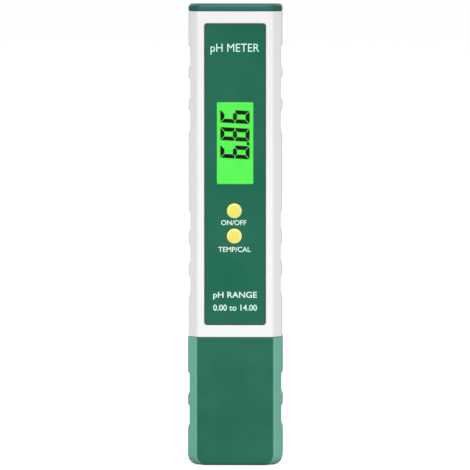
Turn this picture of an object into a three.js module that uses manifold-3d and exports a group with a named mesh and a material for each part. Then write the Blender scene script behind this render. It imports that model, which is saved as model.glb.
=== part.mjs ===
// A pocket pH meter of the pen type, in millimetres. +Z runs up the pen, -Y is the display side,
// and the origin is the middle of the flat base of the protective cap that the meter stands on.
// The case is two half shells. A battery drawer pulls out of the top, two buttons press in at the
// front, and a protective cap pulls off the electrode at the bottom.
import * as THREE from "three";
import { mergeVertices } from "three/addons/utils/BufferGeometryUtils.js";
import Module from "manifold-3d";

const wasm = await Module();
wasm.setup();

// ---------------------------------------------------------------- driving dimensions

const METER_TOP = 153.8;
const CASE = { halfWidth: 15.6, halfDepth: 8.5, chamfer: 2.7, round: 1, wall: 1.75 };
const CASE_SKIN = { ...CASE, chamfer: 3.1 }; // its outside, with wider chamfers than its hollow
const CASE_BOTTOM = 42.9;
const CASE_TOP = 151.45;
const SEAM_GAP = 0.05; // each half shell stops this far short of the middle plane
const TONGUE = { thickness: 0.7, reach: 1.5, bottom: 56, top: 127 };

const CAP = { halfWidth: 15.8, halfDepth: 8.75, chamfer: 2.75, round: 1, wall: 1.9 };
const CAP_RIM = 42.8;
const CAP_FLOOR = 1.7;
const CAP_FOOT = { sideRound: 3.4, faceRound: 0.8 }; // the foot is rounder at its sides

// Finger grips are notches in the two narrow sides, in groups that step down the pen.
const GRIP = { pitch: 10.8, depth: 0.55, upperRamp: 0.35, lowerRamp: 1.1 };
const GRIP_GROUPS = {
  case: [
    { top: 140, count: 3, length: 7.4 },
    { top: 84.7, count: 3, length: 6.9 },
  ],
  cap: [{ top: 31, count: 2, length: 7.8 }],
};

const FACEPLATE = { halfWidth: 10.25, bottom: 46.95, top: 147.45, corner: 1, thickness: 0.3 };
const FACEPLATE_RECESS = 0.4;
const FACEPLATE_MARGIN = 0.1;
const WINDOW = { halfWidth: 6.05, bottom: 94, top: 121.25 };
const WINDOW_RIM = 0.45; // the lens reaches this far under the faceplate
const WINDOW_FRONT = -8.42;
const BUTTON = { radius: 2.5, front: -8.7, flangeRadius: 3.5, flangeThickness: 0.7, x: -0.25 };
const BUTTON_HEIGHTS = { power: 85.05, calibration: 76.65 };
const BUTTON_CLEARANCE = 0.2;

const BOARD = { halfWidth: 12, bottom: 56, top: 133, front: -1.6, back: -0.4 };
const BOARD_SCREWS = [
  [-9.8, 59.5],
  [9.8, 59.5],
  [-9.8, 130],
  [9.8, 130],
];
const BOSS_RADIUS = 2;
const SCREW = { shankRadius: 0.75, headRadius: 1.6, headHeight: 0.9, reach: 3.6 };
const SWITCH = { half: 3, height: 3.5, holeRadius: 1.75, holeDepth: 1.5 };
const PLUNGER = { radius: 1.6, behindShell: 0.9, length: 1.2 };
const DOME = { radius: 1.5, rise: 0.3, thickness: 0.1 };

// Packages on the back of the board: middle in X and Z, half sizes, and how far they stand off it.
const CHIPS = {
  microcontroller: { x: 0, z: 102, halfWidth: 4.6, halfHeight: 4.6, height: 1.4 },
  amplifier_chip: { x: -4.5, z: 70, halfWidth: 1.9, halfHeight: 2.4, height: 1.5 },
  memory_chip: { x: 6, z: 88, halfWidth: 1.9, halfHeight: 2.4, height: 1.5 },
};
const CAPACITOR = { x: 5.5, z: 118, halfWidth: 1.6, halfHeight: 2, height: 1.9 };
const CHIP_LEADS = { reach: 0.7, height: 0.35, short: 0.4 };
const CRYSTAL = { x: -5, radius: 1, bottom: 84, top: 90 };

const DISPLAY_FRAME = { halfWidth: 8.9, bottom: 89.8, top: 126.2, front: -6.6, lip: 0.4 };
const DISPLAY_POCKET = { halfWidth: 7.6, bottom: 91.3, top: 124.7 };
const LCD = { halfWidth: 7.5, bottom: 91.4, top: 124.6, front: -6.1, thickness: 2 };
const LIGHT_GUIDE = { halfWidth: 7.4, bottom: 93.2, top: 121.7, front: -4, back: -1.75 };
const BACKLIGHT = { halfWidth: 1.5, front: -3.2, bottom: 91.6, top: 93 };
const ZEBRA = { halfWidth: 6, bottom: 122.2, top: 124.2 };

const CELL = { radius: 5.8, length: 5.3, spacing: 5.4, count: 4, centreZ: 141.9 };
const TRAY = { halfWidth: 10.95, halfDepth: 6.3, bottom: 135, top: 148.3, bore: 5.95 };
const TRAY_MOUTH = { halfHeight: 4.9, depth: 2.9 };
const BATTERY_CAP = { bottom: 151.55, topRound: 0.9 };
const PRY_NOTCH = { halfWidth: 4.5, depth: 0.8, height: 0.8 };
const PLUG = { inset: 1.95, bottom: 148.4 };
const CONTACT = { x: 12.4, thickness: 0.3, halfWidth: 3, bottom: 134, top: 148 };
const CONTACT_BUMP = { x: 11.2, halfFlat: 1, slope: 0.1, below: 5, above: 4.5 }; // the bow in the strip
const CONTACT_TAIL = { front: -1, back: 1.2, bottom: 130.5, footX: 9.5, footBottom: 131.8, footTop: 132.8 };

const HOLDER = { inset: 1.95, bottom: 34, top: 52, wall: 0.9, floorTop: 38 };
const SLEEVE = { radius: 5.2, inner: 4.3, bottom: 8, slotTop: 17, slotWidth: 2.6 };
const SLEEVE_FLANGE = { halfWidth: 9, halfDepth: 5.4, bottom: 38.05, top: 39.5, corner: 1.5 };
const JUNCTION = { radius: 4.2, bottom: 18.5, top: 21 };
const STEM = { x: -1.3, radius: 2.1, wall: 0.4, bulbRadius: 2.6, bulbZ: 12.4, top: 46.5 };
const INNER_WIRE = { radius: 0.3, bottom: 11.6, top: 46 };
const REFERENCE_WIRE = { x: 0.7, y: 3.1, radius: 0.4, bottom: 22.5, top: 44 };
const THERMISTOR = { x: 2.7, radius: 1.1, bottom: 10.8, top: 43.5 };
const LEAD_RADIUS = 0.6;
const LEAD_ROUTES = {
  electrode_lead: [
    [-1.3, 0, 46.7],
    [-1.3, 0.3, 50],
    [-3, 1.6, 55],
    [-4.6, 1.9, 59],
    [-5, 0.9, 63.5],
  ],
  sensor_lead: [
    [2.7, 0, 43.7],
    [2.7, 0.3, 49],
    [3.6, 1.8, 55],
    [4.6, 2, 59],
    [5, 0.9, 63.5],
  ],
};
const SEAL_HEIGHT = 1.1;
const SEAL_DEPTH = 0.85; // of its groove, below the face that the seal stands proud of
const SEAL_PROUD = 0.1;
const CAP_SEAL_Z = 36;
const BATTERY_SEAL_Z = 149.9;
const SPONGE = { halfWidth: 11, halfDepth: 5.6, bottom: 1.8, top: 6, corner: 2 };

const GAP = 0.1; // between pieces that touch on the real meter
const FAR = 40; // past the object on any side, for cutting tools
const ARC = 3; // segments in a rounded corner
const ROUND = 24; // segments in a full circle

// ---------------------------------------------------------------- finishes

const FINISHES = {
  whiteCase: { color: 0xf1f1ef, roughness: 0.35, metalness: 0 },
  greenCase: { color: 0x2d6e58, roughness: 0.3, metalness: 0 },
  greenFilm: { color: 0x2d6e58, roughness: 0.45, metalness: 0 },
  yellowButton: { color: 0xf9e679, roughness: 0.45, metalness: 0 },
  clear: { color: 0xdff5e4, roughness: 0.1, metalness: 0 },
  lcdGlass: { color: 0x5af655, roughness: 0.2, metalness: 0 },
  lightGuide: { color: 0xb9ffb0, roughness: 0.5, metalness: 0 },
  blackPlastic: { color: 0x1c1c1e, roughness: 0.6, metalness: 0 },
  whitePlastic: { color: 0xe9e9e4, roughness: 0.5, metalness: 0 },
  board: { color: 0x14563a, roughness: 0.5, metalness: 0 },
  steel: { color: 0xb9bcc0, roughness: 0.3, metalness: 1 },
  brass: { color: 0xc9a55a, roughness: 0.35, metalness: 1 },
  silverChloride: { color: 0x6d6a68, roughness: 0.6, metalness: 1 },
  rubber: { color: 0x202124, roughness: 0.8, metalness: 0 },
  glass: { color: 0xdfeee8, roughness: 0.05, metalness: 0 },
  ceramic: { color: 0xe8e2d2, roughness: 0.8, metalness: 0 },
  sponge: { color: 0xe6d27a, roughness: 0.95, metalness: 0 },
  redWire: { color: 0xb3261e, roughness: 0.5, metalness: 0 },
  greyWire: { color: 0x55585c, roughness: 0.5, metalness: 0 },
};

// ---------------------------------------------------------------- shaping tools

/** A closed geometry as a manifold-3d solid. */
function solid(geometry) {
  const bare = geometry.index ? geometry.toNonIndexed() : geometry.clone();
  bare.deleteAttribute("normal");
  bare.deleteAttribute("uv");
  const merged = mergeVertices(bare, 1e-4);
  return new wasm.Manifold(
    new wasm.Mesh({
      numProp: 3,
      vertProperties: merged.attributes.position.array,
      triVerts: new Uint32Array(merged.index.array),
    }),
  );
}

/** A manifold-3d solid as a three.js geometry. */
function geometryOf(made) {
  const mesh = made.getMesh();
  const geometry = new THREE.BufferGeometry();
  geometry.setAttribute("position", new THREE.BufferAttribute(mesh.vertProperties, 3));
  geometry.setIndex(new THREE.BufferAttribute(mesh.triVerts, 1));
  geometry.computeVertexNormals();
  return geometry;
}

/** A path through [x, y, radius] corners, each rounded to its radius. */
function roundedOutline(corners) {
  const shape = new THREE.Shape();
  corners.forEach(([x, y, radius], i) => {
    const here = new THREE.Vector2(x, y);
    const before = new THREE.Vector2(...corners.at(i - 1));
    const after = new THREE.Vector2(...corners[(i + 1) % corners.length]);
    const back = before.sub(here).normalize();
    const on = after.sub(here).normalize();
    const half = Math.acos(THREE.MathUtils.clamp(back.dot(on), -1, 1)) / 2;
    const reach = radius / Math.tan(half);
    const start = here.clone().addScaledVector(back, reach);
    const end = here.clone().addScaledVector(on, reach);
    if (i === 0) shape.moveTo(start.x, start.y);
    else shape.lineTo(start.x, start.y);
    shape.quadraticCurveTo(x, y, end.x, end.y);
  });
  shape.closePath();
  return shape;
}

/** The chamfered outline of the pen, drawn in by an inset that keeps every wall equally thick. */
function penOutline({ halfWidth, halfDepth, chamfer, round }, inset = 0) {
  const x = halfWidth - inset;
  const y = halfDepth - inset;
  const cut = chamfer - inset * (2 - Math.SQRT2);
  const r = Math.max(round - inset / 3, 0.2);
  return roundedOutline([
    [x - cut, -y, r],
    [x, -y + cut, r],
    [x, y - cut, r],
    [x - cut, y, r],
    [-x + cut, y, r],
    [-x, y - cut, r],
    [-x, -y + cut, r],
    [-x + cut, -y, r],
  ]);
}

/** A rectangle with equal rounded corners. */
function roundedRectangle(x0, x1, y0, y1, radius) {
  return roundedOutline([
    [x0, y0, radius],
    [x1, y0, radius],
    [x1, y1, radius],
    [x0, y1, radius],
  ]);
}

/** A shape in XY pulled up from z0 to z1. */
function upright(shape, z0, z1) {
  const geometry = new THREE.ExtrudeGeometry(shape, {
    depth: z1 - z0,
    bevelEnabled: false,
    curveSegments: ARC,
  });
  return geometry.translate(0, 0, z0);
}

/** A shape drawn in X and Z, pulled through from y0 to y1. */
function through(shape, y0, y1) {
  const geometry = new THREE.ExtrudeGeometry(shape, {
    depth: y1 - y0,
    bevelEnabled: false,
    curveSegments: ARC,
  });
  return geometry.rotateX(Math.PI / 2).translate(0, y1, 0);
}

/** A closed body through outlines of equal point count, given as [shape, height] from the bottom up. */
function stacked(layers) {
  const rings = layers.map(([shape]) => shape.extractPoints(ARC).shape);
  const count = rings[0].length;
  const positions = rings.flatMap((ring, k) => ring.flatMap((p) => [p.x, p.y, layers[k][1]]));
  const indices = [];
  for (let k = 0; k + 1 < rings.length; k++) {
    for (let i = 0; i < count; i++) {
      const a = k * count + i;
      const b = k * count + ((i + 1) % count);
      indices.push(a, b, b + count, a, b + count, a + count);
    }
  }
  const last = (rings.length - 1) * count;
  for (const [a, b, c] of THREE.ShapeUtils.triangulateShape(rings[0], []))
    indices.push(c, b, a);
  for (const [a, b, c] of THREE.ShapeUtils.triangulateShape(rings.at(-1), []))
    indices.push(last + a, last + b, last + c);
  const geometry = new THREE.BufferGeometry();
  geometry.setAttribute("position", new THREE.Float32BufferAttribute(positions, 3));
  geometry.setIndex(indices);
  return geometry;
}

/** Insets and heights of a quarter round, from the inset end to the full outline. */
function quarterRound(radius, steps) {
  return Array.from({ length: steps + 1 }, (_, i) => {
    const angle = (Math.PI / 2) * (i / steps);
    return [radius * (1 - Math.sin(angle)), radius * (1 - Math.cos(angle))];
  });
}

/** A box between two corners. */
function block(x0, x1, y0, y1, z0, z1) {
  const geometry = new THREE.BoxGeometry(x1 - x0, y1 - y0, z1 - z0);
  return geometry.translate((x0 + x1) / 2, (y0 + y1) / 2, (z0 + z1) / 2);
}

/** A [radius, height] profile turned round an axis, which passes through a centre. */
function turned(profile, axis, centre, segments = ROUND) {
  const points = profile.map(([radius, height]) => new THREE.Vector2(radius, height));
  const geometry = new THREE.LatheGeometry(points, segments);
  if (axis === "z") geometry.rotateX(Math.PI / 2);
  if (axis === "x") geometry.rotateZ(-Math.PI / 2);
  return geometry.translate(...centre);
}

/** A plain cylinder along an axis, from one height to another. */
function bar(radius, from, to, axis, centre, segments = ROUND) {
  const profile = [
    [0, from],
    [radius, from],
    [radius, to],
    [0, to],
  ];
  return turned(profile, axis, centre, segments);
}

/** Solids joined into one. */
function joined(...geometries) {
  return geometries.map(solid).reduce((all, next) => all.add(next));
}

/** A solid, or a geometry, with geometries cut out of it. */
function cut(from, ...geometries) {
  const start = from instanceof THREE.BufferGeometry ? solid(from) : from;
  return geometries.map(solid).reduce((left, next) => left.subtract(next), start);
}

/** One named mesh of the assembly. */
function part(name, finish, shape) {
  const geometry = shape instanceof THREE.BufferGeometry ? shape : geometryOf(shape);
  const mesh = new THREE.Mesh(geometry, new THREE.MeshStandardMaterial(FINISHES[finish]));
  mesh.name = name;
  return mesh;
}

/** Cutting tools for the finger notches: sharp above, ramped below, on both narrow sides. */
function gripCutters(halfWidth, groups) {
  const bottomOfNotch = halfWidth - GRIP.depth;
  const cutters = [];
  for (const { top, count, length } of groups) {
    for (let i = 0; i < count; i++) {
      const high = top - i * GRIP.pitch;
      const low = high - length;
      for (const side of [-1, 1]) {
        const notch = new THREE.Shape([
          new THREE.Vector2(side * (halfWidth + 1), low),
          new THREE.Vector2(side * halfWidth, low),
          new THREE.Vector2(side * bottomOfNotch, low + GRIP.lowerRamp),
          new THREE.Vector2(side * bottomOfNotch, high - GRIP.upperRamp),
          new THREE.Vector2(side * halfWidth, high),
          new THREE.Vector2(side * (halfWidth + 1), high),
        ]);
        cutters.push(through(notch, -FAR, FAR));
      }
    }
  }
  return cutters;
}

/** A soft seal of square section round a neck that is set in from the case's outline. */
function sealRing(neckInset, middleZ) {
  const low = middleZ - SEAL_HEIGHT / 2;
  const high = middleZ + SEAL_HEIGHT / 2;
  return cut(
    upright(penOutline(CASE, neckInset - SEAL_PROUD), low, high),
    upright(penOutline(CASE, neckInset + SEAL_DEPTH), low - 1, high + 1),
  );
}

/** The groove that such a seal sits in, as a cutting tool. */
function sealGroove(neckInset, middleZ) {
  const low = middleZ - SEAL_HEIGHT / 2 - GAP;
  const high = middleZ + SEAL_HEIGHT / 2 + GAP;
  return geometryOf(
    cut(
      upright(penOutline(CASE, -1), low, high),
      upright(penOutline(CASE, neckInset + SEAL_DEPTH + GAP), low - 1, high + 1),
    ),
  );
}

// ---------------------------------------------------------------- case

/** The whole case as one tube, before it is split into a front and a rear shell. */
function caseTube() {
  return cut(
    upright(penOutline(CASE_SKIN), CASE_BOTTOM, CASE_TOP),
    upright(penOutline(CASE, CASE.wall), CASE_BOTTOM - 1, CASE_TOP + 1),
    ...gripCutters(CASE.halfWidth, GRIP_GROUPS.case),
  );
}

/** White front shell: faceplate recess, display opening, button holes and board bosses. */
function frontShell() {
  const innerFace = -CASE.halfDepth + CASE.wall;
  const recess = through(
    roundedRectangle(
      -FACEPLATE.halfWidth - FACEPLATE_MARGIN,
      FACEPLATE.halfWidth + FACEPLATE_MARGIN,
      FACEPLATE.bottom - FACEPLATE_MARGIN,
      FACEPLATE.top + FACEPLATE_MARGIN,
      FACEPLATE.corner,
    ),
    -FAR,
    -CASE.halfDepth + FACEPLATE_RECESS,
  );
  const opening = block(
    -WINDOW.halfWidth - WINDOW_RIM - GAP,
    WINDOW.halfWidth + WINDOW_RIM + GAP,
    -FAR,
    innerFace + 1,
    WINDOW.bottom - WINDOW_RIM - GAP,
    WINDOW.top + WINDOW_RIM + GAP,
  );
  const holes = Object.values(BUTTON_HEIGHTS).map((z) =>
    bar(BUTTON.radius + BUTTON_CLEARANCE, -FAR, innerFace + 1, "y", [BUTTON.x, 0, z]),
  );
  const half = cut(caseTube(), block(-FAR, FAR, -SEAM_GAP, FAR, 0, METER_TOP));
  const bosses = BOARD_SCREWS.map(([x, z]) =>
    solid(bar(BOSS_RADIUS, innerFace - 0.5, BOARD.front - GAP, "y", [x, 0, z], 12)),
  );
  const pilots = BOARD_SCREWS.map(([x, z]) =>
    bar(SCREW.shankRadius + 0.05, BOARD.front - SCREW.reach - GAP, 0, "y", [x, 0, z], 8),
  );
  const withBosses = bosses.reduce((all, boss) => all.add(boss), half);
  return cut(withBosses, recess, opening, ...holes, ...pilots);
}

/** White rear shell, with a tongue along each long edge that reaches inside the front shell. */
function rearShell() {
  const half = cut(caseTube(), block(-FAR, FAR, -FAR, SEAM_GAP, 0, METER_TOP));
  const outerX = CASE.halfWidth - CASE.wall - GAP;
  const innerX = outerX - TONGUE.thickness;
  return [-1, 1].reduce((all, side) => {
    const root = [side * innerX, side * (outerX + 2 * GAP)].sort((a, b) => a - b);
    const tip = [side * innerX, side * outerX].sort((a, b) => a - b);
    const held = block(...root, SEAM_GAP, TONGUE.reach, TONGUE.bottom, TONGUE.top);
    const free = block(...tip, -TONGUE.reach, 2 * SEAM_GAP, TONGUE.bottom, TONGUE.top);
    return all.add(solid(held)).add(solid(free));
  }, half);
}

/** Printed green film in its recess, with the display window and the button holes. */
function faceplate() {
  const back = -CASE.halfDepth + FACEPLATE_RECESS - GAP / 2;
  const front = back - FACEPLATE.thickness;
  const { halfWidth, bottom, top, corner } = FACEPLATE;
  const window = block(-WINDOW.halfWidth, WINDOW.halfWidth, -FAR, 0, WINDOW.bottom, WINDOW.top);
  const holes = Object.values(BUTTON_HEIGHTS).map((z) =>
    bar(BUTTON.radius + BUTTON_CLEARANCE, -FAR, 0, "y", [BUTTON.x, 0, z]),
  );
  return cut(
    through(roundedRectangle(-halfWidth, halfWidth, bottom, top, corner), front, back),
    window,
    ...holes,
  );
}

/** Clear lens: a raised pane that fills the film's window and a rim behind it. */
function displayWindow() {
  const filmBack = -CASE.halfDepth + FACEPLATE_RECESS;
  const { halfWidth, bottom, top } = WINDOW;
  return joined(
    block(
      -halfWidth - WINDOW_RIM,
      halfWidth + WINDOW_RIM,
      filmBack + 0.05,
      -CASE.halfDepth + CASE.wall - 0.05,
      bottom - WINDOW_RIM,
      top + WINDOW_RIM,
    ),
    block(-halfWidth + GAP, halfWidth - GAP, WINDOW_FRONT, filmBack + GAP, bottom + GAP, top - GAP),
  );
}

function buildCase() {
  const group = new THREE.Group();
  group.add(
    part("front_shell", "whiteCase", frontShell()),
    part("rear_shell", "whiteCase", rearShell()),
    part("faceplate", "greenFilm", faceplate()),
    part("display_window", "clear", displayWindow()),
  );
  return group;
}

// ---------------------------------------------------------------- display

/** Black frame that holds the LCD over its light guide, with a lip in front and an open back. */
function displayFrame() {
  const { halfWidth, bottom, top, front, lip } = DISPLAY_FRAME;
  const back = BOARD.front - GAP;
  return cut(
    block(-halfWidth, halfWidth, front, back, bottom, top),
    block(
      -DISPLAY_POCKET.halfWidth,
      DISPLAY_POCKET.halfWidth,
      front + lip,
      0,
      DISPLAY_POCKET.bottom,
      DISPLAY_POCKET.top,
    ),
    block(
      -WINDOW.halfWidth - WINDOW_RIM,
      WINDOW.halfWidth + WINDOW_RIM,
      -FAR,
      0,
      WINDOW.bottom - WINDOW_RIM,
      WINDOW.top + WINDOW_RIM,
    ),
  );
}

function buildDisplay() {
  const group = new THREE.Group();
  const lcdBack = LCD.front + LCD.thickness;
  const guide = LIGHT_GUIDE;
  const led = BACKLIGHT;
  group.add(
    part("display_frame", "blackPlastic", displayFrame()),
    part(
      "lcd_glass",
      "lcdGlass",
      block(-LCD.halfWidth, LCD.halfWidth, LCD.front, lcdBack, LCD.bottom, LCD.top),
    ),
    part(
      "light_guide",
      "lightGuide",
      block(-guide.halfWidth, guide.halfWidth, guide.front, guide.back, guide.bottom, guide.top),
    ),
    part(
      "backlight_led",
      "whitePlastic",
      block(-led.halfWidth, led.halfWidth, led.front, guide.back, led.bottom, led.top),
    ),
    part(
      "zebra_strip",
      "rubber",
      block(-ZEBRA.halfWidth, ZEBRA.halfWidth, guide.front, guide.back, ZEBRA.bottom, ZEBRA.top),
    ),
  );
  return group;
}

// ---------------------------------------------------------------- circuit board

/** Board blank with its four screw holes. */
function mainBoard() {
  const { halfWidth, bottom, top, front, back } = BOARD;
  const blank = through(roundedRectangle(-halfWidth, halfWidth, bottom, top, 0.8), front, back);
  const holes = BOARD_SCREWS.map(([x, z]) =>
    bar(SCREW.shankRadius + GAP, -FAR, FAR, "y", [x, 0, z], 12),
  );
  return cut(blank, ...holes);
}

/** Pan-head screw, turned as one profile, with its head behind the board. */
function boardScrew([x, z]) {
  const head = BOARD.back + GAP;
  const tip = BOARD.front - SCREW.reach;
  const profile = [
    [0, tip],
    [SCREW.shankRadius * 0.5, tip],
    [SCREW.shankRadius, tip + 0.6],
    [SCREW.shankRadius, head],
    [SCREW.headRadius, head],
    [SCREW.headRadius, head + SCREW.headHeight * 0.5],
    [SCREW.headRadius * 0.7, head + SCREW.headHeight],
    [0, head + SCREW.headHeight],
  ];
  return turned(profile, "y", [x, 0, z], 8);
}

/** Body of a tact switch: a square base with the hole that its plunger works in. */
function switchBody(z) {
  const back = BOARD.front - GAP / 2;
  const front = back - SWITCH.height;
  const { half, holeRadius, holeDepth } = SWITCH;
  return cut(
    block(BUTTON.x - half, BUTTON.x + half, front, back, z - half, z + half),
    bar(holeRadius, -FAR, front + holeDepth, "y", [BUTTON.x, 0, z], 16),
  );
}

/** Snap dome at the bottom of a tact switch: the spring that lifts its plunger. */
function snapDome(z) {
  const { radius, rise, thickness } = DOME;
  const rim = BOARD.front - GAP / 2 - SWITCH.height + SWITCH.holeDepth - GAP / 2;
  const profile = [
    [0, rim - rise - thickness],
    [radius * 0.5, rim - rise * 0.8 - thickness],
    [radius, rim - thickness],
    [radius, rim],
    [radius * 0.5, rim - rise * 0.8],
    [0, rim - rise],
  ];
  return turned(profile, "y", [BUTTON.x, 0, z], 16);
}

/** Package on the back of the board, with its rows of leads as a thin step. */
function chip({ x, z, halfWidth, halfHeight, height }) {
  const foot = BOARD.back + GAP / 2;
  const { reach, height: leadHeight, short } = CHIP_LEADS;
  const wide = halfWidth + reach;
  const low = halfHeight - short;
  return joined(
    block(
      x - halfWidth,
      x + halfWidth,
      foot + leadHeight / 2,
      foot + height,
      z - halfHeight,
      z + halfHeight,
    ),
    block(x - wide, x + wide, foot, foot + leadHeight, z - low, z + low),
  );
}

function buildBoard() {
  const group = new THREE.Group();
  const canY = BOARD.back + CRYSTAL.radius + GAP / 2;
  group.add(
    part("main_board", "board", mainBoard()),
    part("filter_capacitor", "brass", chip(CAPACITOR)),
    part(
      "crystal",
      "steel",
      bar(CRYSTAL.radius, CRYSTAL.bottom, CRYSTAL.top, "z", [CRYSTAL.x, canY, 0], 10),
    ),
  );
  for (const [name, outline] of Object.entries(CHIPS))
    group.add(part(name, "blackPlastic", chip(outline)));
  for (const [name, z] of Object.entries(BUTTON_HEIGHTS)) {
    group.add(part(`${name}_switch_body`, "blackPlastic", switchBody(z)));
    group.add(part(`${name}_switch_dome`, "steel", snapDome(z)));
  }
  BOARD_SCREWS.forEach((place, i) =>
    group.add(part(`board_screw_${i + 1}`, "steel", boardScrew(place))),
  );
  return group;
}

// ---------------------------------------------------------------- buttons

/** Domed key with a flange that keeps it behind the front shell. */
function keycap(z) {
  const { radius, front, flangeRadius, flangeThickness, x } = BUTTON;
  const flangeFront = -CASE.halfDepth + CASE.wall + GAP;
  const profile = [
    [0, front],
    [radius * 0.75, front + 0.04],
    [radius * 0.95, front + 0.16],
    [radius, front + 0.4],
    [radius, flangeFront],
    [flangeRadius, flangeFront],
    [flangeRadius, flangeFront + flangeThickness],
    [0, flangeFront + flangeThickness],
  ];
  return turned(profile, "y", [x, 0, z]);
}

/** Plunger of a tact switch, standing between the key and the bottom of its hole. */
function plunger(z) {
  const top = -CASE.halfDepth + CASE.wall + PLUNGER.behindShell;
  return bar(PLUNGER.radius, top, top + PLUNGER.length, "y", [BUTTON.x, 0, z], 16);
}

function buildButtons() {
  const group = new THREE.Group();
  for (const [name, z] of Object.entries(BUTTON_HEIGHTS)) {
    group.add(part(`${name}_button`, "yellowButton", keycap(z)));
    group.add(part(`${name}_switch_plunger`, "whitePlastic", plunger(z)));
  }
  return group;
}

// ---------------------------------------------------------------- battery drawer

/** Green top cap: a band as wide as the case, rounded above, and a plug with a seal groove. */
function batteryCap() {
  const rounding = quarterRound(BATTERY_CAP.topRound, 3)
    .map(([inset, depth]) => [penOutline(CASE_SKIN, inset), METER_TOP - depth])
    .reverse();
  const band = stacked([[penOutline(CASE_SKIN), BATTERY_CAP.bottom], ...rounding]);
  const plug = upright(penOutline(CASE, PLUG.inset), PLUG.bottom, BATTERY_CAP.bottom + 0.5);
  const { halfWidth, depth, height } = PRY_NOTCH;
  const notchTop = BATTERY_CAP.bottom + height;
  return cut(
    joined(band, plug),
    block(-halfWidth, halfWidth, CASE.halfDepth - depth, FAR, PLUG.bottom, notchTop),
    sealGroove(PLUG.inset, BATTERY_SEAL_Z),
  );
}

/** Cradle under the cap: a bored block, open in front so that the cells snap in. */
function batteryTray() {
  const { halfWidth, halfDepth, bottom, top, bore } = TRAY;
  const z = CELL.centreZ;
  return cut(
    block(-halfWidth, halfWidth, -halfDepth, halfDepth, bottom, top),
    bar(bore, -FAR, FAR, "x", [0, 0, z]),
    block(
      -FAR,
      FAR,
      -FAR,
      -halfDepth + TRAY_MOUTH.depth,
      z - TRAY_MOUTH.halfHeight,
      z + TRAY_MOUTH.halfHeight,
    ),
  );
}

/** Button cell: a can with a rounded edge and the raised cap of the other pole. */
function cell(index) {
  const { radius, length, spacing, count, centreZ } = CELL;
  const x = (index - (count - 1) / 2) * spacing;
  const profile = [
    [0, -length / 2],
    [radius - 0.4, -length / 2],
    [radius, -length / 2 + 0.4],
    [radius, length / 2 - 0.6],
    [radius - 0.5, length / 2 - 0.25],
    [radius - 1.1, length / 2 - 0.25],
    [radius - 1.2, length / 2],
    [0, length / 2],
  ];
  return turned(profile, "x", [x, 0, centreZ], 20);
}

/** Spring contact at one end of the row of cells: a bowed strip and a foot behind the board. */
function batteryContact(side) {
  const { x, thickness, halfWidth, bottom, top } = CONTACT;
  const bump = CONTACT_BUMP;
  const tail = CONTACT_TAIL;
  const middle = CELL.centreZ;
  const line = [
    [x, bottom],
    [x - bump.slope, middle - bump.below],
    [bump.x + bump.slope, middle - bump.halfFlat],
    [bump.x, middle],
    [bump.x + bump.slope, middle + bump.halfFlat],
    [x - bump.slope, middle + bump.above],
    [x, top],
  ];
  const inner = line.map(([px, pz]) => new THREE.Vector2(side * px, pz));
  const outer = line.map(([px, pz]) => new THREE.Vector2(side * (px + thickness), pz));
  const strip = through(new THREE.Shape([...inner, ...outer.reverse()]), -halfWidth, halfWidth);
  const across = (near, far) => [side * near, side * far].sort((a, b) => a - b);
  const foot = BOARD.back + GAP / 2;
  return joined(
    strip,
    block(...across(x, x + thickness), tail.front, tail.back, tail.bottom, bottom + 0.5),
    block(...across(tail.footX, x + thickness), foot, foot + thickness, tail.footBottom, tail.footTop),
  );
}

function buildBatteryDrawer() {
  const group = new THREE.Group();
  group.add(
    part("battery_cap", "greenCase", batteryCap()),
    part("battery_seal", "rubber", sealRing(PLUG.inset, BATTERY_SEAL_Z)),
    part("battery_tray", "blackPlastic", batteryTray()),
  );
  for (let i = 0; i < CELL.count; i++) group.add(part(`battery_cell_${i + 1}`, "steel", cell(i)));
  return group;
}

function buildBatteryContacts() {
  const group = new THREE.Group();
  group.add(
    part("battery_contact_negative", "brass", batteryContact(-1)),
    part("battery_contact_positive", "brass", batteryContact(1)),
  );
  return group;
}

// ---------------------------------------------------------------- electrode

/** Neck that closes the case and carries the protective cap: a tray with a bored floor. */
function electrodeHolder() {
  const { inset, bottom, top, wall, floorTop } = HOLDER;
  return cut(
    upright(penOutline(CASE, inset), bottom, top),
    upright(penOutline(CASE, inset + wall), floorTop, top + 1),
    bar(SLEEVE.radius + GAP, 0, top, "z", [0, 0, 0]),
    sealGroove(inset, CAP_SEAL_Z),
  );
}

/** Sleeve round the electrode, slotted at its foot so that the sample reaches the bulb. */
function probeSleeve() {
  const { radius, inner, bottom, slotTop, slotWidth } = SLEEVE;
  const flange = SLEEVE_FLANGE;
  const tube = joined(
    bar(radius, bottom, flange.top, "z", [0, 0, 0]),
    upright(
      roundedRectangle(
        -flange.halfWidth,
        flange.halfWidth,
        -flange.halfDepth,
        flange.halfDepth,
        flange.corner,
      ),
      flange.bottom,
      flange.top,
    ),
  );
  const w = slotWidth / 2;
  return cut(
    tube,
    bar(inner, 0, METER_TOP, "z", [0, 0, 0]),
    block(-w, w, -FAR, FAR, 0, slotTop),
    block(-FAR, FAR, -w, w, 0, slotTop),
  );
}

/** Porous disc that lets the reference electrolyte meet the sample, bored for stem and probe. */
function referenceJunction() {
  return cut(
    bar(JUNCTION.radius, JUNCTION.bottom, JUNCTION.top, "z", [0, 0, 0]),
    bar(STEM.radius + GAP, 0, FAR, "z", [STEM.x, 0, 0], 16),
    bar(THERMISTOR.radius + GAP, 0, FAR, "z", [THERMISTOR.x, 0, 0], 12),
  );
}

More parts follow.
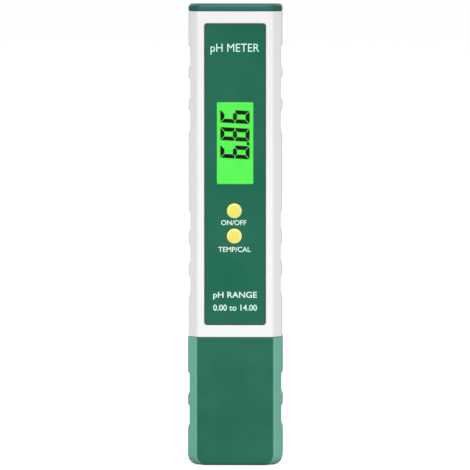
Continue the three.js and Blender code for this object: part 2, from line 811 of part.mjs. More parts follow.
/** Glass electrode: an open tube drawn out of a thin round bulb. */
function glassElectrode() {
  const { x, radius, wall, bulbRadius, bulbZ, top } = STEM;
  const steps = 6;
  const arc = (r, neck) => {
    const end = Math.PI - Math.asin(neck / r);
    return Array.from({ length: steps + 1 }, (_, i) => {
      const angle = (end * i) / steps;
      return [r * Math.sin(angle), bulbZ - r * Math.cos(angle)];
    });
  };
  const outer = arc(bulbRadius, radius);
  const inner = arc(bulbRadius - wall, radius - wall).reverse();
  const profile = [...outer, [radius, top], [radius - wall, top], ...inner];
  return turned(profile, "z", [x, 0, 0], 16);
}

/** A lead along its route, from a pin on the electrode to its pad on the board. */
function lead(route) {
  const sides = 8;
  const ring = Array.from({ length: sides }, (_, i) => {
    const angle = (2 * Math.PI * i) / sides;
    return new THREE.Vector2(LEAD_RADIUS * Math.cos(angle), LEAD_RADIUS * Math.sin(angle));
  });
  return new THREE.ExtrudeGeometry(new THREE.Shape(ring), {
    extrudePath: new THREE.CatmullRomCurve3(route.map((p) => new THREE.Vector3(...p))),
    steps: 14,
    bevelEnabled: false,
  });
}

/** Steel tube of the temperature probe, closed by a rounded tip. */
function temperatureProbe() {
  const { x, radius, bottom, top } = THERMISTOR;
  const profile = [
    [0, bottom],
    [radius * 0.6, bottom + 0.15],
    [radius, bottom + 0.8],
    [radius, top],
    [0, top],
  ];
  return turned(profile, "z", [x, 0, 0], 16);
}

function buildElectrode() {
  const group = new THREE.Group();
  const inner = INNER_WIRE;
  const reference = REFERENCE_WIRE;
  group.add(
    part("electrode_holder", "whitePlastic", electrodeHolder()),
    part("cap_seal", "rubber", sealRing(HOLDER.inset, CAP_SEAL_Z)),
    part("probe_sleeve", "blackPlastic", probeSleeve()),
    part("reference_junction", "ceramic", referenceJunction()),
    part("glass_electrode", "glass", glassElectrode()),
    part(
      "inner_electrode_wire",
      "silverChloride",
      bar(inner.radius, inner.bottom, inner.top, "z", [STEM.x, 0, 0], 8),
    ),
    part(
      "reference_electrode_wire",
      "silverChloride",
      bar(reference.radius, reference.bottom, reference.top, "z", [reference.x, reference.y, 0], 8),
    ),
    part("temperature_probe", "steel", temperatureProbe()),
    part("electrode_lead", "redWire", lead(LEAD_ROUTES.electrode_lead)),
    part("sensor_lead", "greyWire", lead(LEAD_ROUTES.sensor_lead)),
  );
  return group;
}

// ---------------------------------------------------------------- protective cap

/** How far a rounded foot draws in at a height above the base. */
function footInset(radius, height) {
  const left = Math.max(radius - height, 0);
  return radius - Math.sqrt(radius * radius - left * left);
}

/** Green cap: a deep cup of the case's own section, rounded at the foot and notched for grip. */
function protectiveCap() {
  const { sideRound, faceRound } = CAP_FOOT;
  const heights = [0, 0.25, 0.5, 1, 1.5, 2, 3].map((share) => share * faceRound);
  const layers = [...heights, sideRound, CAP_RIM].map((z) => {
    const halfWidth = CAP.halfWidth - footInset(sideRound, z);
    const halfDepth = CAP.halfDepth - footInset(faceRound, z);
    return [penOutline({ ...CAP, halfWidth, halfDepth }), z];
  });
  return cut(
    stacked(layers),
    upright(penOutline(CAP, CAP.wall), CAP_FLOOR, CAP_RIM + 1),
    ...gripCutters(CAP.halfWidth, GRIP_GROUPS.cap),
  );
}

function buildProtectiveCap() {
  const group = new THREE.Group();
  const { halfWidth, halfDepth, bottom, top, corner } = SPONGE;
  group.add(
    part("protective_cap", "greenCase", protectiveCap()),
    part(
      "storage_sponge",
      "sponge",
      upright(roundedRectangle(-halfWidth, halfWidth, -halfDepth, halfDepth, corner), bottom, top),
    ),
  );
  return group;
}

// ---------------------------------------------------------------- assembly

const meter = new THREE.Group();
meter.add(
  buildCase(),
  buildDisplay(),
  buildBoard(),
  buildButtons(),
  buildBatteryContacts(),
  buildBatteryDrawer(),
  buildElectrode(),
  buildProtectiveCap(),
);

export default meter;
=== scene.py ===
"""A pen-type pH meter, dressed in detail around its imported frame.

The pen stands on its protective cap, +Z up, with the display facing -Y. Each sub-assembly is a class that
reads its places from the frame, builds its mouldings in millimetres and gives each one its finish.
"""

import logging
import math
from abc import ABC, abstractmethod
from collections.abc import Callable, Iterable, Sequence
from dataclasses import dataclass, field
from enum import Enum

import bmesh
import bpy
from mathutils import Matrix, Vector, noise
from mathutils.geometry import tessellate_polygon


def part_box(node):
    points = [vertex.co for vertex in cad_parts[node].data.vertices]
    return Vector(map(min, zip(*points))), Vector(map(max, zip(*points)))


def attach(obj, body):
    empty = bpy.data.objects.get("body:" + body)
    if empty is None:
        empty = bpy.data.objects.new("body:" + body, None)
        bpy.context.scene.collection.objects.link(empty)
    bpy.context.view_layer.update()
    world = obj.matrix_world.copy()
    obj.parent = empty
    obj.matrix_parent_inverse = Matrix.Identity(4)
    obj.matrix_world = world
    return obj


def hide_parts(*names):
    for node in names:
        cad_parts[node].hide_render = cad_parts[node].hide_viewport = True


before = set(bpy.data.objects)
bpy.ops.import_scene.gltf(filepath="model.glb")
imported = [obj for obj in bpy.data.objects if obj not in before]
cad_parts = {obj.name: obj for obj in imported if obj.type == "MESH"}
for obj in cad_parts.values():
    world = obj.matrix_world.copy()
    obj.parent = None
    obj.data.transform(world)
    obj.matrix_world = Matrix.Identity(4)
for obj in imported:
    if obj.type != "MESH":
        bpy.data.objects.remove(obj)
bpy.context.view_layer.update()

LOG = logging.getLogger("ph_meter")
MM = 0.001

Colour = tuple[float, float, float]
Flat = tuple[float, float]
Loop = list[Vector]

# The corners of a rectangle, anticlockwise from the one at the lower right.
CORNER_SIGNS = ((1, -1), (1, 1), (-1, 1), (-1, -1))
# Points nearer to each other than this are welded, in millimetres.
WELD = 1e-5


# ---------------------------------------------------------------- named choices


class Join(Enum):
    """How one solid is worked with another."""

    ADD = "UNION"
    CUT = "DIFFERENCE"


class Axis(Enum):
    """The row axis that a turned piece is turned about."""

    X = 0
    Y = 1
    Z = 2


class Half(Enum):
    """Which half shell of the case: the display side or the back."""

    FRONT = -1
    REAR = 1


# ---------------------------------------------------------------- outlines


def filleted(corners: Sequence[tuple[float, float, float]], steps: int, closed: bool = True) -> list[Flat]:
    """Rounds the corners of a path.

    Args:
        corners: x, y and rounding radius of each corner, in order.
        steps: flat steps in each rounding.
        closed: False leaves the two ends of an open path as they are.

    Returns:
        The points of the rounded path.
    """
    points: list[Flat] = []
    for i, (x, y, radius) in enumerate(corners):
        at_end = not closed and i in (0, len(corners) - 1)
        if at_end or radius <= 0:
            points.append((x, y))
            continue
        here = Vector((x, y))
        back = (Vector(corners[i - 1][:2]) - here).normalized()
        on = (Vector(corners[(i + 1) % len(corners)][:2]) - here).normalized()
        half = back.angle(on) / 2
        sweep = math.pi - 2 * half
        centre = here + (back + on).normalized() * (radius / math.sin(half))
        start = here + back * (radius / math.tan(half)) - centre
        end = here + on * (radius / math.tan(half)) - centre
        for k in range(steps + 1):
            share = k / steps
            spoke = start * math.sin((1 - share) * sweep) + end * math.sin(share * sweep)
            point = centre + spoke / math.sin(sweep)
            points.append((point.x, point.y))
    return points


@dataclass(frozen=True)
class PenSection:
    """Chamfered rectangle that the case, its caps and its seals are all drawn from, in millimetres."""

    half_width: float
    half_depth: float
    chamfer: float
    corner: float = 1.0
    steps: int = 6

    def corners(self, inset: float) -> list[tuple[float, float, float]]:
        """Corner points and radii, drawn in by an inset that keeps a wall equally thick.

        Args:
            inset: how far each side is drawn in.

        Returns:
            x, y and rounding radius of each corner, from the lower right one.
        """
        x = self.half_width - inset
        y = self.half_depth - inset
        cut = self.chamfer - inset * (2 - math.sqrt(2))
        r = max(self.corner - inset / 3, 0.2)
        right = [(x - cut, -y, r), (x, -y + cut, r), (x, y - cut, r), (x - cut, y, r)]
        return right + [(-px, py, r) for px, py, _ in reversed(right)]

    def around(self, inset: float = 0.0) -> list[Flat]:
        """The whole outline, anticlockwise seen from above."""
        return filleted(self.corners(inset), self.steps)

    def ring(self, inset: float, z: float) -> Loop:
        """The outline as one level of a lofted body."""
        return [Vector((x, y, z)) for x, y in self.around(inset)]


@dataclass(frozen=True)
class Pane:
    """Rounded rectangle seen from the display side, in millimetres; with full corners it is a circle."""

    x: float
    z: float
    half_width: float
    half_height: float
    corner: float
    steps: int = 10

    def points(self, inset: float = 0.0) -> list[Flat]:
        """The outline, drawn in by an inset, anticlockwise seen from the display side.

        Args:
            inset: how far the outline is drawn in; below 0 it is let out.

        Returns:
            x and z of each point.
        """
        w = self.half_width - inset
        h = self.half_height - inset
        r = max(self.corner - inset, 0.0)
        corners = [(self.x + sx * w, self.z + sz * h, r) for sx, sz in CORNER_SIGNS]
        rounded = filleted(corners, self.steps)
        return [p for i, p in enumerate(rounded) if math.dist(p, rounded[i - 1]) > WELD / 10]

    def ring(self, inset: float, y: float) -> Loop:
        """The outline as one level of a body that is lofted from front to back."""
        return [Vector((x, y, z)) for x, z in self.points(inset)]


def disc(x: float, z: float, radius: float, steps: int = 16) -> Pane:
    """A circle seen from the display side."""
    return Pane(x, z, radius, radius, radius, steps)


@dataclass(frozen=True)
class GripNotches:
    """Finger notches in the narrow sides: a sharp step above and a ramp below, in millimetres.

    Each span is the top and the bottom of one notch.
    """

    spans: tuple[Flat, ...]
    deep: float = 0.55
    upper_ramp: float = 0.35
    lower_ramp: float = 1.1
    softness: float = 0.16

    def plain_depth(self, z: float) -> float:
        """Depth of the notches at a height, before their edges are softened.

        Args:
            z: the height.

        Returns:
            How far the side is cut in there.
        """
        for top, low in self.spans:
            if low < z < top:
                return self.deep * min(1, (z - low) / self.lower_ramp, (top - z) / self.upper_ramp)
        return 0.0

    def depth(self, z: float) -> float:
        """Depth at a height, averaged over a short stretch so that the edges are soft."""
        reach = range(-4, 5)
        return sum(self.plain_depth(z + self.softness * k / 4) for k in reach) / len(reach)

    def levels(self, bottom: float, top: float) -> list[float]:
        """Heights where the shape turns, each with its neighbours on both sides.

        Args:
            bottom: the lowest height that is wanted.
            top: the highest.

        Returns:
            The heights, rising.
        """
        found = {bottom, top}
        for high, low in self.spans:
            turns = (low, low + self.lower_ramp, high - self.upper_ramp, high)
            for turn in turns:
                found.update(turn + self.softness * k / 2 for k in (-2, -1, 0, 1, 2))
        return sorted(z for z in found if bottom <= z <= top)


def quarter_round(radius: float, steps: int = 4) -> list[Flat]:
    """Insets and heights of a quarter round, from the drawn-in end to the full outline."""
    angles = [math.pi / 2 * k / steps for k in range(steps + 1)]
    return [(radius * (1 - math.sin(a)), radius * (1 - math.cos(a))) for a in angles]


# ---------------------------------------------------------------- mesh making


def mesh_of(bm: bmesh.types.BMesh, name: str) -> bpy.types.Mesh:
    """Turns a bmesh drawn in millimetres into a mesh in metres, welded and facing outwards.

    Args:
        bm: the bmesh, which is used up.
        name: name of the mesh.

    Returns:
        The mesh.
    """
    bmesh.ops.remove_doubles(bm, verts=bm.verts, dist=WELD)
    bmesh.ops.recalc_face_normals(bm, faces=bm.faces)
    bmesh.ops.scale(bm, vec=(MM, MM, MM), verts=bm.verts)
    mesh = bpy.data.meshes.new(name)
    bm.to_mesh(mesh)
    bm.free()
    return mesh


def bridged(bm: bmesh.types.BMesh, low: Sequence, high: Sequence) -> None:
    """Closes the band between two closed rows with one face for each pair of points.

    Args:
        bm: the bmesh that the rows are in.
        low: the first row.
        high: the second row, with as many points.
    """
    for i, corner in enumerate(low):
        j = (i + 1) % len(low)
        bm.faces.new((corner, low[j], high[j], high[i]))


def lofted(name: str, rings: Sequence[Loop], around: bool = False) -> bpy.types.Mesh:
    """A closed body through rings of equal point count.

    Args:
        name: name of the mesh.
        rings: the rings, in order, in millimetres.
        around: True joins the last ring to the first; False caps both ends.

    Returns:
        The mesh, in metres.
    """
    bm = bmesh.new()
    rows = [[bm.verts.new(p) for p in ring] for ring in rings]
    pairs = list(zip(rows, rows[1:]))
    if around:
        pairs.append((rows[-1], rows[0]))
    else:
        bm.faces.new(rows[0])
        bm.faces.new(rows[-1])
    for low, high in pairs:
        bridged(bm, low, high)
    return mesh_of(bm, name)


def turned(
    name: str, profile: Sequence[Flat], axis: Axis, centre: Sequence[float], steps: int = 48
) -> bpy.types.Mesh:
    """A body turned about an axis.

    Args:
        name: name of the mesh.
        profile: radius and height along the axis of each point; it starts and ends on the axis or closes.
        axis: the row axis that it turns about.
        centre: a point that the axis goes through, in millimetres.
        steps: flat steps in a full turn.

    Returns:
        The mesh, in metres.
    """
    first, second = {Axis.X: (1, 2), Axis.Y: (2, 0), Axis.Z: (0, 1)}[axis]
    bm = bmesh.new()
    rows = []
    for radius, height in profile:
        row = []
        for k in range(steps if radius > 0 else 1):
            angle = 2 * math.pi * k / steps
            point = Vector(centre)
            point[axis.value] += height
            point[first] += radius * math.cos(angle)
            point[second] += radius * math.sin(angle)
            row.append(bm.verts.new(point))
        rows.append(row)
    pairs = list(zip(rows, rows[1:]))
    if len(rows[0]) > 1:
        pairs.append((rows[-1], rows[0]))
    for low, high in pairs:
        for k in range(steps):
            j = (k + 1) % steps
            corners = [low[k % len(low)], low[j % len(low)], high[j % len(high)], high[k % len(high)]]
            unique = list(dict.fromkeys(corners))
            if len(unique) > 2:
                bm.faces.new(unique)
    return mesh_of(bm, name)


def plate(
    name: str, outside: Pane, front: float, back: float, edge: float, holes: Sequence[Pane] = ()
) -> bpy.types.Mesh:
    """A flat plate that faces the display side, with rounded edges and holes.

    Args:
        name: name of the mesh.
        outside: its outline.
        front: where its front face lies along Y, in millimetres.
        back: where its back face lies.
        edge: radius of the rounding along each edge.
        holes: outlines that go right through it.

    Returns:
        The mesh, in metres.
    """
    bm = bmesh.new()
    rounding = quarter_round(edge, 3)
    levels = [(inset, front + y) for inset, y in rounding]
    levels += [(inset, back - y) for inset, y in reversed(rounding)]
    ends: tuple[list, list] = ([], [])
    for outline, sign in [(outside, 1), *((hole, -1) for hole in holes)]:
        rows = [[bm.verts.new(point) for point in outline.ring(sign * inset, y)] for inset, y in levels]
        for low, high in zip(rows, rows[1:]):
            bridged(bm, low, high)
        ends[0].append(rows[0])
        ends[1].append(rows[-1])
    for loops in ends:
        if not holes:
            bm.faces.new(loops[0])
            continue
        flat = [[Vector((v.co.x, v.co.z, 0)) for v in loop] for loop in loops]
        verts = [v for loop in loops for v in loop]
        made = [bm.faces.new([verts[i] for i in triangle]) for triangle in tessellate_polygon(flat)]
        inside = {e for face in made for e in face.edges if all(f in made for f in e.link_faces)}
        bmesh.ops.dissolve_limit(bm, angle_limit=math.radians(1), verts=[], edges=list(inside))
    return mesh_of(bm, name)


def block(name: str, low: Sequence[float], high: Sequence[float], edge: float) -> bpy.types.Mesh:
    """A box between two corners with rounded edges, in millimetres.

    Args:
        name: name of the mesh.
        low: the lowest corner.
        high: the highest corner.
        edge: radius of the edges.

    Returns:
        The mesh, in metres.
    """
    bm = bmesh.new()
    made = bmesh.ops.create_cube(bm, size=1)
    for v in made["verts"]:
        v.co = Vector([(a + b) / 2 + c * (b - a) for a, b, c in zip(low, high, v.co)])
    bmesh.ops.bevel(bm, geom=list(bm.edges), offset=edge, segments=3, profile=0.5, affect="EDGES")
    return mesh_of(bm, name)


def linked(name: str, data: bpy.types.ID) -> bpy.types.Object:
    """A new object, linked into the scene.

    Args:
        name: name of the object.
        data: the mesh, text, light or camera that it shows.

    Returns:
        The object.
    """
    made = bpy.data.objects.new(name, data)
    bpy.context.scene.collection.objects.link(made)
    return made


def evaluated(source: bpy.types.Object, name: str) -> bpy.types.Mesh:
    """The mesh that an object has after its modifiers, or that a text's letters have.

    Args:
        source: the object.
        name: name of the mesh.

    Returns:
        The mesh.
    """
    bpy.context.view_layer.update()
    made = bpy.data.meshes.new_from_object(source.evaluated_get(bpy.context.evaluated_depsgraph_get()))
    made.name = name
    return made


def worked(base: bpy.types.Mesh, tools: Sequence[bpy.types.Mesh], how: Join) -> bpy.types.Mesh:
    """Joins other solids to a solid, or cuts them out of it.

    Args:
        base: the solid that is worked on.
        tools: the other solids, which are used up.
        how: join or cut.

    Returns:
        The finished mesh, with the base's name.
    """
    body = linked("bench_body", base)
    others = [linked("bench_tool", mesh) for mesh in tools]
    for tool in others:
        step = body.modifiers.new("work", "BOOLEAN")
        step.operation = how.value
        step.solver = "EXACT"
        step.object = tool
    made = evaluated(body, base.name)
    for used in (body, *others):
        bpy.data.objects.remove(used)
    return made


def flared(name: str, outline: Pane, front: float, back: float, edge: float) -> bpy.types.Mesh:
    """A cutting tool for a hole in a front face, which leaves a rounded edge at that face.

    Args:
        name: name of the mesh.
        outline: the hole.
        front: where the face that it starts from lies along Y, in millimetres.
        back: how far back it reaches.
        edge: radius of the rounded edge.

    Returns:
        The mesh, in metres.
    """
    mouth = [(-inset, front + depth) for inset, depth in quarter_round(edge, 4)]
    levels = [(-edge, front - 1.0), *mouth, (0.0, back)]
    return lofted(name, [outline.ring(inset, y) for inset, y in levels])


# ---------------------------------------------------------------- shader wiring


class Wiring:
    """A hand for placing and linking shader nodes in one tree."""

    def __init__(self, tree: bpy.types.NodeTree) -> None:
        """Starts on an empty tree."""
        self.tree = tree
        tree.nodes.clear()

    def node(self, kind: str, inputs: dict | None = None, **settings: object) -> bpy.types.Node:
        """Adds a node.

        Args:
            kind: the node's Blender type.
            inputs: values or other nodes' sockets, by input name or number.
            settings: the node's own properties.

        Returns:
            The new node.
        """
        made = self.tree.nodes.new(kind)
        for key, value in settings.items():
            setattr(made, key, value)
        for key, value in (inputs or {}).items():
            if isinstance(value, bpy.types.NodeSocket):
                self.tree.links.new(value, made.inputs[key])
            else:
                made.inputs[key].default_value = value
        return made

    def math(self, operation: str, *values: object, clamp: bool = False) -> bpy.types.NodeSocket:
        """A sum of one, two or three values."""
        inputs = dict(enumerate(values))
        return self.node("ShaderNodeMath", inputs, operation=operation, use_clamp=clamp).outputs[0]

    def ramp(self, value: bpy.types.NodeSocket, low: float, high: float) -> bpy.types.NodeSocket:
        """0 below low and 1 above high, with a smooth rise between."""
        inputs = {"Value": value, "From Min": low, "From Max": high}
        return self.node("ShaderNodeMapRange", inputs, interpolation_type="SMOOTHSTEP").outputs["Result"]

    def blend(self, share: object, first: object, second: object) -> bpy.types.NodeSocket:
        """A colour between two, by a share from 0 to 1.

        Args:
            share: 0 for the first and 1 for the second; a number or a socket.
            first: a colour or a socket.
            second: a colour or a socket.

        Returns:
            The blended colour's socket.
        """
        inputs = {"Factor": share}
        for key, value in ((6, first), (7, second)):
            inputs[key] = value if isinstance(value, bpy.types.NodeSocket) else (*value, 1.0)
        return self.node("ShaderNodeMix", inputs, data_type="RGBA").outputs[2]

    def noise(
        self, where: object, scale: object, detail: float, roughness: float = 0.5
    ) -> bpy.types.NodeSocket:
        """Noise from 0 to 1, with its scale in lumps per metre."""
        inputs = {"Vector": where, "Scale": scale, "Detail": detail, "Roughness": roughness}
        return self.node("ShaderNodeTexNoise", inputs).outputs[0]

    def place(self) -> bpy.types.NodeSocket:
        """The piece's own coordinates, in metres."""
        return self.node("ShaderNodeTexCoord").outputs["Object"]

    def relief(self, height: object, strength: float, deep: float) -> bpy.types.NodeSocket:
        """The normal of a surface in relief, with its depth in millimetres."""
        inputs = {"Strength": strength, "Distance": deep * MM, "Height": height}
        return self.node("ShaderNodeBump", inputs).outputs[0]

    def border(
        self, place: object, centre: Flat, half_size: Flat, starts: float, full: float
    ) -> bpy.types.NodeSocket:
        """Mask of the border of a pane that faces the display side.

        Args:
            place: the piece's own coordinates.
            centre: x and z of the pane's middle, in millimetres.
            half_size: half of its width and height.
            starts: how far in from the edge the border starts.
            full: how far in from the edge it is full.

        Returns:
            0 inside and 1 at the edge.
        """
        apart = self.node("ShaderNodeSeparateXYZ", {0: place})
        runs = []
        for key, middle, half in zip("XZ", centre, half_size):
            away = self.math("ABSOLUTE", self.math("SUBTRACT", apart.outputs[key], middle * MM))
            runs.append(self.ramp(away, (half - starts) * MM, (half - full) * MM))
        return self.math("MAXIMUM", *runs)

    def marks(self, place: object, amount: float) -> bpy.types.NodeSocket:
        """Mask of the marks of handling, from their shared group."""
        inputs = {"Vector": place, "Amount": amount}
        return self.node("ShaderNodeGroup", inputs, node_tree=handling_marks()).outputs["Mask"]


def node_group(
    name: str, sockets: dict[str, str], outputs: dict[str, str], fill: Callable
) -> bpy.types.NodeTree:
    """Builds a shared node group once.

    Args:
        name: the group's name.
        sockets: input names and their socket types.
        outputs: output names and their socket types.
        fill: wires the group, given its Wiring and its input node, and returns the output sockets.

    Returns:
        The group.
    """
    known = bpy.data.node_groups.get(name)
    if known:
        return known
    tree = bpy.data.node_groups.new(name, "ShaderNodeTree")
    for key, kind in sockets.items():
        tree.interface.new_socket(name=key, in_out="INPUT", socket_type=kind)
    for key, kind in outputs.items():
        tree.interface.new_socket(name=key, in_out="OUTPUT", socket_type=kind)
    wiring = Wiring(tree)
    made = fill(wiring, wiring.node("NodeGroupInput"))
    wiring.node("NodeGroupOutput", made)
    return tree


def moulded_grain() -> bpy.types.NodeTree:
    """Fine spark-eroded mould texture, with the slow unevenness that a moulding has.

    Returns:
        The group.
    """

    def fill(w: Wiring, given: bpy.types.Node) -> dict:
        """Wires the group.

        Args:
            w: the group's wiring.
            given: the group's input node.

        Returns:
            The sockets that it puts out, by name.
        """
        where = given.outputs["Vector"]
        fine = w.noise(where, given.outputs["Scale"], 4.0, 0.6)
        slow = w.noise(where, 90.0, 2.0)
        flow = w.noise(where, 26.0, 1.0)
        patches = w.math("ADD", w.math("MULTIPLY", slow, 0.6), w.math("MULTIPLY", flow, 0.4))
        return {"Height": fine, "Patches": w.ramp(patches, 0.3, 0.7)}

    sockets = {"Vector": "NodeSocketVector", "Scale": "NodeSocketFloat"}
    outputs = {"Height": "NodeSocketFloat", "Patches": "NodeSocketFloat"}
    return node_group("moulded_grain", sockets, outputs, fill)


def edge_wear() -> bpy.types.NodeTree:
    """Mask of the edges that hands and pockets rub, broken up so that it isn't an even line.

    Returns:
        The group.
    """

    def fill(w: Wiring, given: bpy.types.Node) -> dict:
        """Wires the group.

        Args:
            w: the group's wiring.
            given: the group's input node.

        Returns:
            The sockets that it puts out, by name.
        """
        soft = w.node("ShaderNodeBevel", {"Radius": given.outputs["Width"]}, samples=4).outputs[0]
        hard = w.node("ShaderNodeNewGeometry").outputs["Normal"]
        both = w.node("ShaderNodeVectorMath", {0: soft, 1: hard}, operation="DOT_PRODUCT")
        turned_by = w.math("SUBTRACT", 1.0, both.outputs["Value"])
        edge = w.ramp(turned_by, 0.01, 0.12)
        broken = w.ramp(w.noise(given.outputs["Vector"], 700.0, 4.0), 0.35, 0.65)
        mask = w.math("MULTIPLY", edge, w.math("ADD", 0.45, w.math("MULTIPLY", broken, 0.55)))
        return {"Mask": w.math("MULTIPLY", mask, given.outputs["Amount"], clamp=True)}

    sockets = {"Vector": "NodeSocketVector", "Width": "NodeSocketFloat", "Amount": "NodeSocketFloat"}
    return node_group("edge_wear", sockets, {"Mask": "NodeSocketFloat"}, fill)


def handling_marks() -> bpy.types.NodeTree:
    """Mask of faint rubs and hairline scratches from use.

    Returns:
        The group.
    """

    def fill(w: Wiring, given: bpy.types.Node) -> dict:
        """Wires the group.

        Args:
            w: the group's wiring.
            given: the group's input node.

        Returns:
            The sockets that it puts out, by name.
        """
        where = given.outputs["Vector"]
        stretched = w.node("ShaderNodeMapping", {"Vector": where, "Scale": (1.0, 1.0, 0.06)}).outputs[0]
        hair = w.ramp(w.noise(stretched, 2600.0, 2.0), 0.66, 0.72)
        rubs = w.ramp(w.noise(where, 140.0, 3.0), 0.5, 0.75)
        both = w.math("ADD", w.math("MULTIPLY", hair, 0.5), w.math("MULTIPLY", rubs, 0.7))
        return {"Mask": w.math("MULTIPLY", both, given.outputs["Amount"], clamp=True)}

    sockets = {"Vector": "NodeSocketVector", "Amount": "NodeSocketFloat"}
    return node_group("handling_marks", sockets, {"Mask": "NodeSocketFloat"}, fill)


# ---------------------------------------------------------------- finishes


@dataclass(frozen=True)
class Finish(ABC):
    """A finish: it builds its material once and gives the same one again."""

    name: str
    slot: str

    def material(self) -> bpy.types.Material:
        """The material, built the first time that it is asked for.

        Returns:
            The material.
        """
        known = bpy.data.materials.get(self.name)
        if known:
            return known
        made = bpy.data.materials.new(self.name)
        made.use_nodes = True
        wiring = Wiring(made.node_tree)
        surface = self.surface(wiring)
        wiring.node("ShaderNodeOutputMaterial", {"Surface": surface.outputs[0]})
        return made

    @abstractmethod
    def surface(self, w: Wiring) -> bpy.types.Node:
        """Wires the shader.

        Args:
            w: the material's wiring.

        Returns:
            The shader node.
        """


def lighter(colour: Colour, share: float) -> Colour:
    """A colour moved towards white by a share."""
    return tuple(c + (1 - c) * share for c in colour)


def darker(colour: Colour, share: float) -> Colour:
    """A colour moved towards black by a share."""
    return tuple(c * (1 - share) for c in colour)


@dataclass(frozen=True)
class Moulding(Finish):
    """Injection-moulded plastic or rubber: grain, slow unevenness, rubbed edges and faint marks.

    Its painted shading is a second tone, a painted highlight where it is lighter and painted shade where it
    is darker, that it takes where it faces along the given axis more than the given range says.
    """

    colour: Colour
    roughness: float = 0.4
    grain: float = 0.25
    grain_scale: float = 5200.0
    grain_depth: float = 0.02
    uneven: float = 0.05
    wear: float = 0.35
    worn_width: float = 0.35
    marks: float = 0.25
    coat: float = 0.0
    painted_shading: Colour | None = None
    painted_shading_axis: Axis = Axis.X
    painted_shading_range: Flat = (0.2, 0.6)

    def tone(self, w: Wiring, where: bpy.types.Node, patches: bpy.types.NodeSocket) -> bpy.types.NodeSocket:
        """The colour before wear: the body colour, uneven by patches, with its painted highlight and shade
        where it faces along the axis.

        Args:
            w: the material's wiring.
            where: its texture coordinates.
            patches: mask of the slow unevenness.

        Returns:
            The colour.
        """
        body = w.blend(patches, darker(self.colour, self.uneven), lighter(self.colour, self.uneven / 8))
        if self.painted_shading is None:
            return body
        # Painted highlight and shade: a second tone where the surface faces along the axis.
        apart = w.node("ShaderNodeSeparateXYZ", {0: where.outputs["Normal"]})
        faced = w.math("ABSOLUTE", apart.outputs[self.painted_shading_axis.value])
        painted_shading = w.blend(patches, darker(self.painted_shading, 0.06), self.painted_shading)
        return w.blend(w.ramp(faced, *self.painted_shading_range), body, painted_shading)

    def surface(self, w: Wiring) -> bpy.types.Node:
        """Wires the shader.

        Args:
            w: the material's wiring.

        Returns:
            The shader node.
        """
        where = w.node("ShaderNodeTexCoord")
        place = where.outputs["Object"]
        inputs = {"Vector": place, "Scale": self.grain_scale}
        height, patches = w.node("ShaderNodeGroup", inputs, node_tree=moulded_grain()).outputs
        inputs = {"Vector": place, "Width": self.worn_width * MM, "Amount": self.wear}
        worn = w.node("ShaderNodeGroup", inputs, node_tree=edge_wear()).outputs["Mask"]
        tone = self.tone(w, where, patches)
        rough = w.math("MULTIPLY_ADD", height, 0.12, self.roughness - 0.06)
        rough = w.math("MULTIPLY_ADD", w.marks(place, self.marks), 0.18, rough)
        return w.node(
            "ShaderNodeBsdfPrincipled",
            {
                "Base Color": w.blend(worn, tone, lighter(self.colour, 0.35)),
                "Roughness": w.math("SUBTRACT", rough, w.math("MULTIPLY", worn, 0.1)),
                "Normal": w.relief(height, self.grain, self.grain_depth),
                "IOR": 1.5,
                "Coat Weight": self.coat,
                "Coat Roughness": 0.15,
            },
        )


@dataclass(frozen=True)
class PrintedFilm(Finish):
    """Printed overlay film: fine matt texture over flat ink, with painted shade in a darker line along its
    border, where the recess edge shades it.
    """

    colour: Colour
    # Colour of the painted shade along the border.
    border: Colour
    centre: Flat
    half_size: Flat
    shade_width: float = 1.05
    shade_full: float = 0.12
    marks: float = 0.35

    def surface(self, w: Wiring) -> bpy.types.Node:
        """Wires the shader.

        Args:
            w: the material's wiring.

        Returns:
            The shader node.
        """
        place = w.place()
        # Painted shade: mask of the darker band along the film's edge.
        rim = w.border(place, self.centre, self.half_size, self.shade_width, self.shade_full)
        ink = w.ramp(w.noise(place, 45.0, 3.0), 0.3, 0.7)
        flat = w.blend(ink, darker(self.colour, 0.05), lighter(self.colour, 0.012))
        texture = w.noise(place, 9000.0, 2.0)
        rough = w.math("MULTIPLY_ADD", texture, 0.1, 0.4)
        return w.node(
            "ShaderNodeBsdfPrincipled",
            {
                "Base Color": w.blend(rim, flat, self.border),
                "Roughness": w.math("MULTIPLY_ADD", w.marks(place, self.marks), -0.12, rough),
                "Normal": w.relief(texture, 0.18, 0.01),
                "IOR": 1.38,
            },
        )


@dataclass(frozen=True)
class Ink(Finish):
    """Screen-printed ink, very slightly uneven in its cover."""

    colour: Colour
    roughness: float = 0.5
    gloss: float = 0.3

    def surface(self, w: Wiring) -> bpy.types.Node:
        """Wires the shader.

        Args:
            w: the material's wiring.

        Returns:
            The shader node.
        """
        place = w.place()
        cover = w.noise(place, 3500.0, 3.0)
        rough = w.math("MULTIPLY_ADD", cover, 0.15, self.roughness - 0.07)
        return w.node(
            "ShaderNodeBsdfPrincipled",
            {
                "Base Color": w.blend(cover, darker(self.colour, 0.04), self.colour),
                "Roughness": rough,
                "Specular IOR Level": self.gloss,
            },
        )


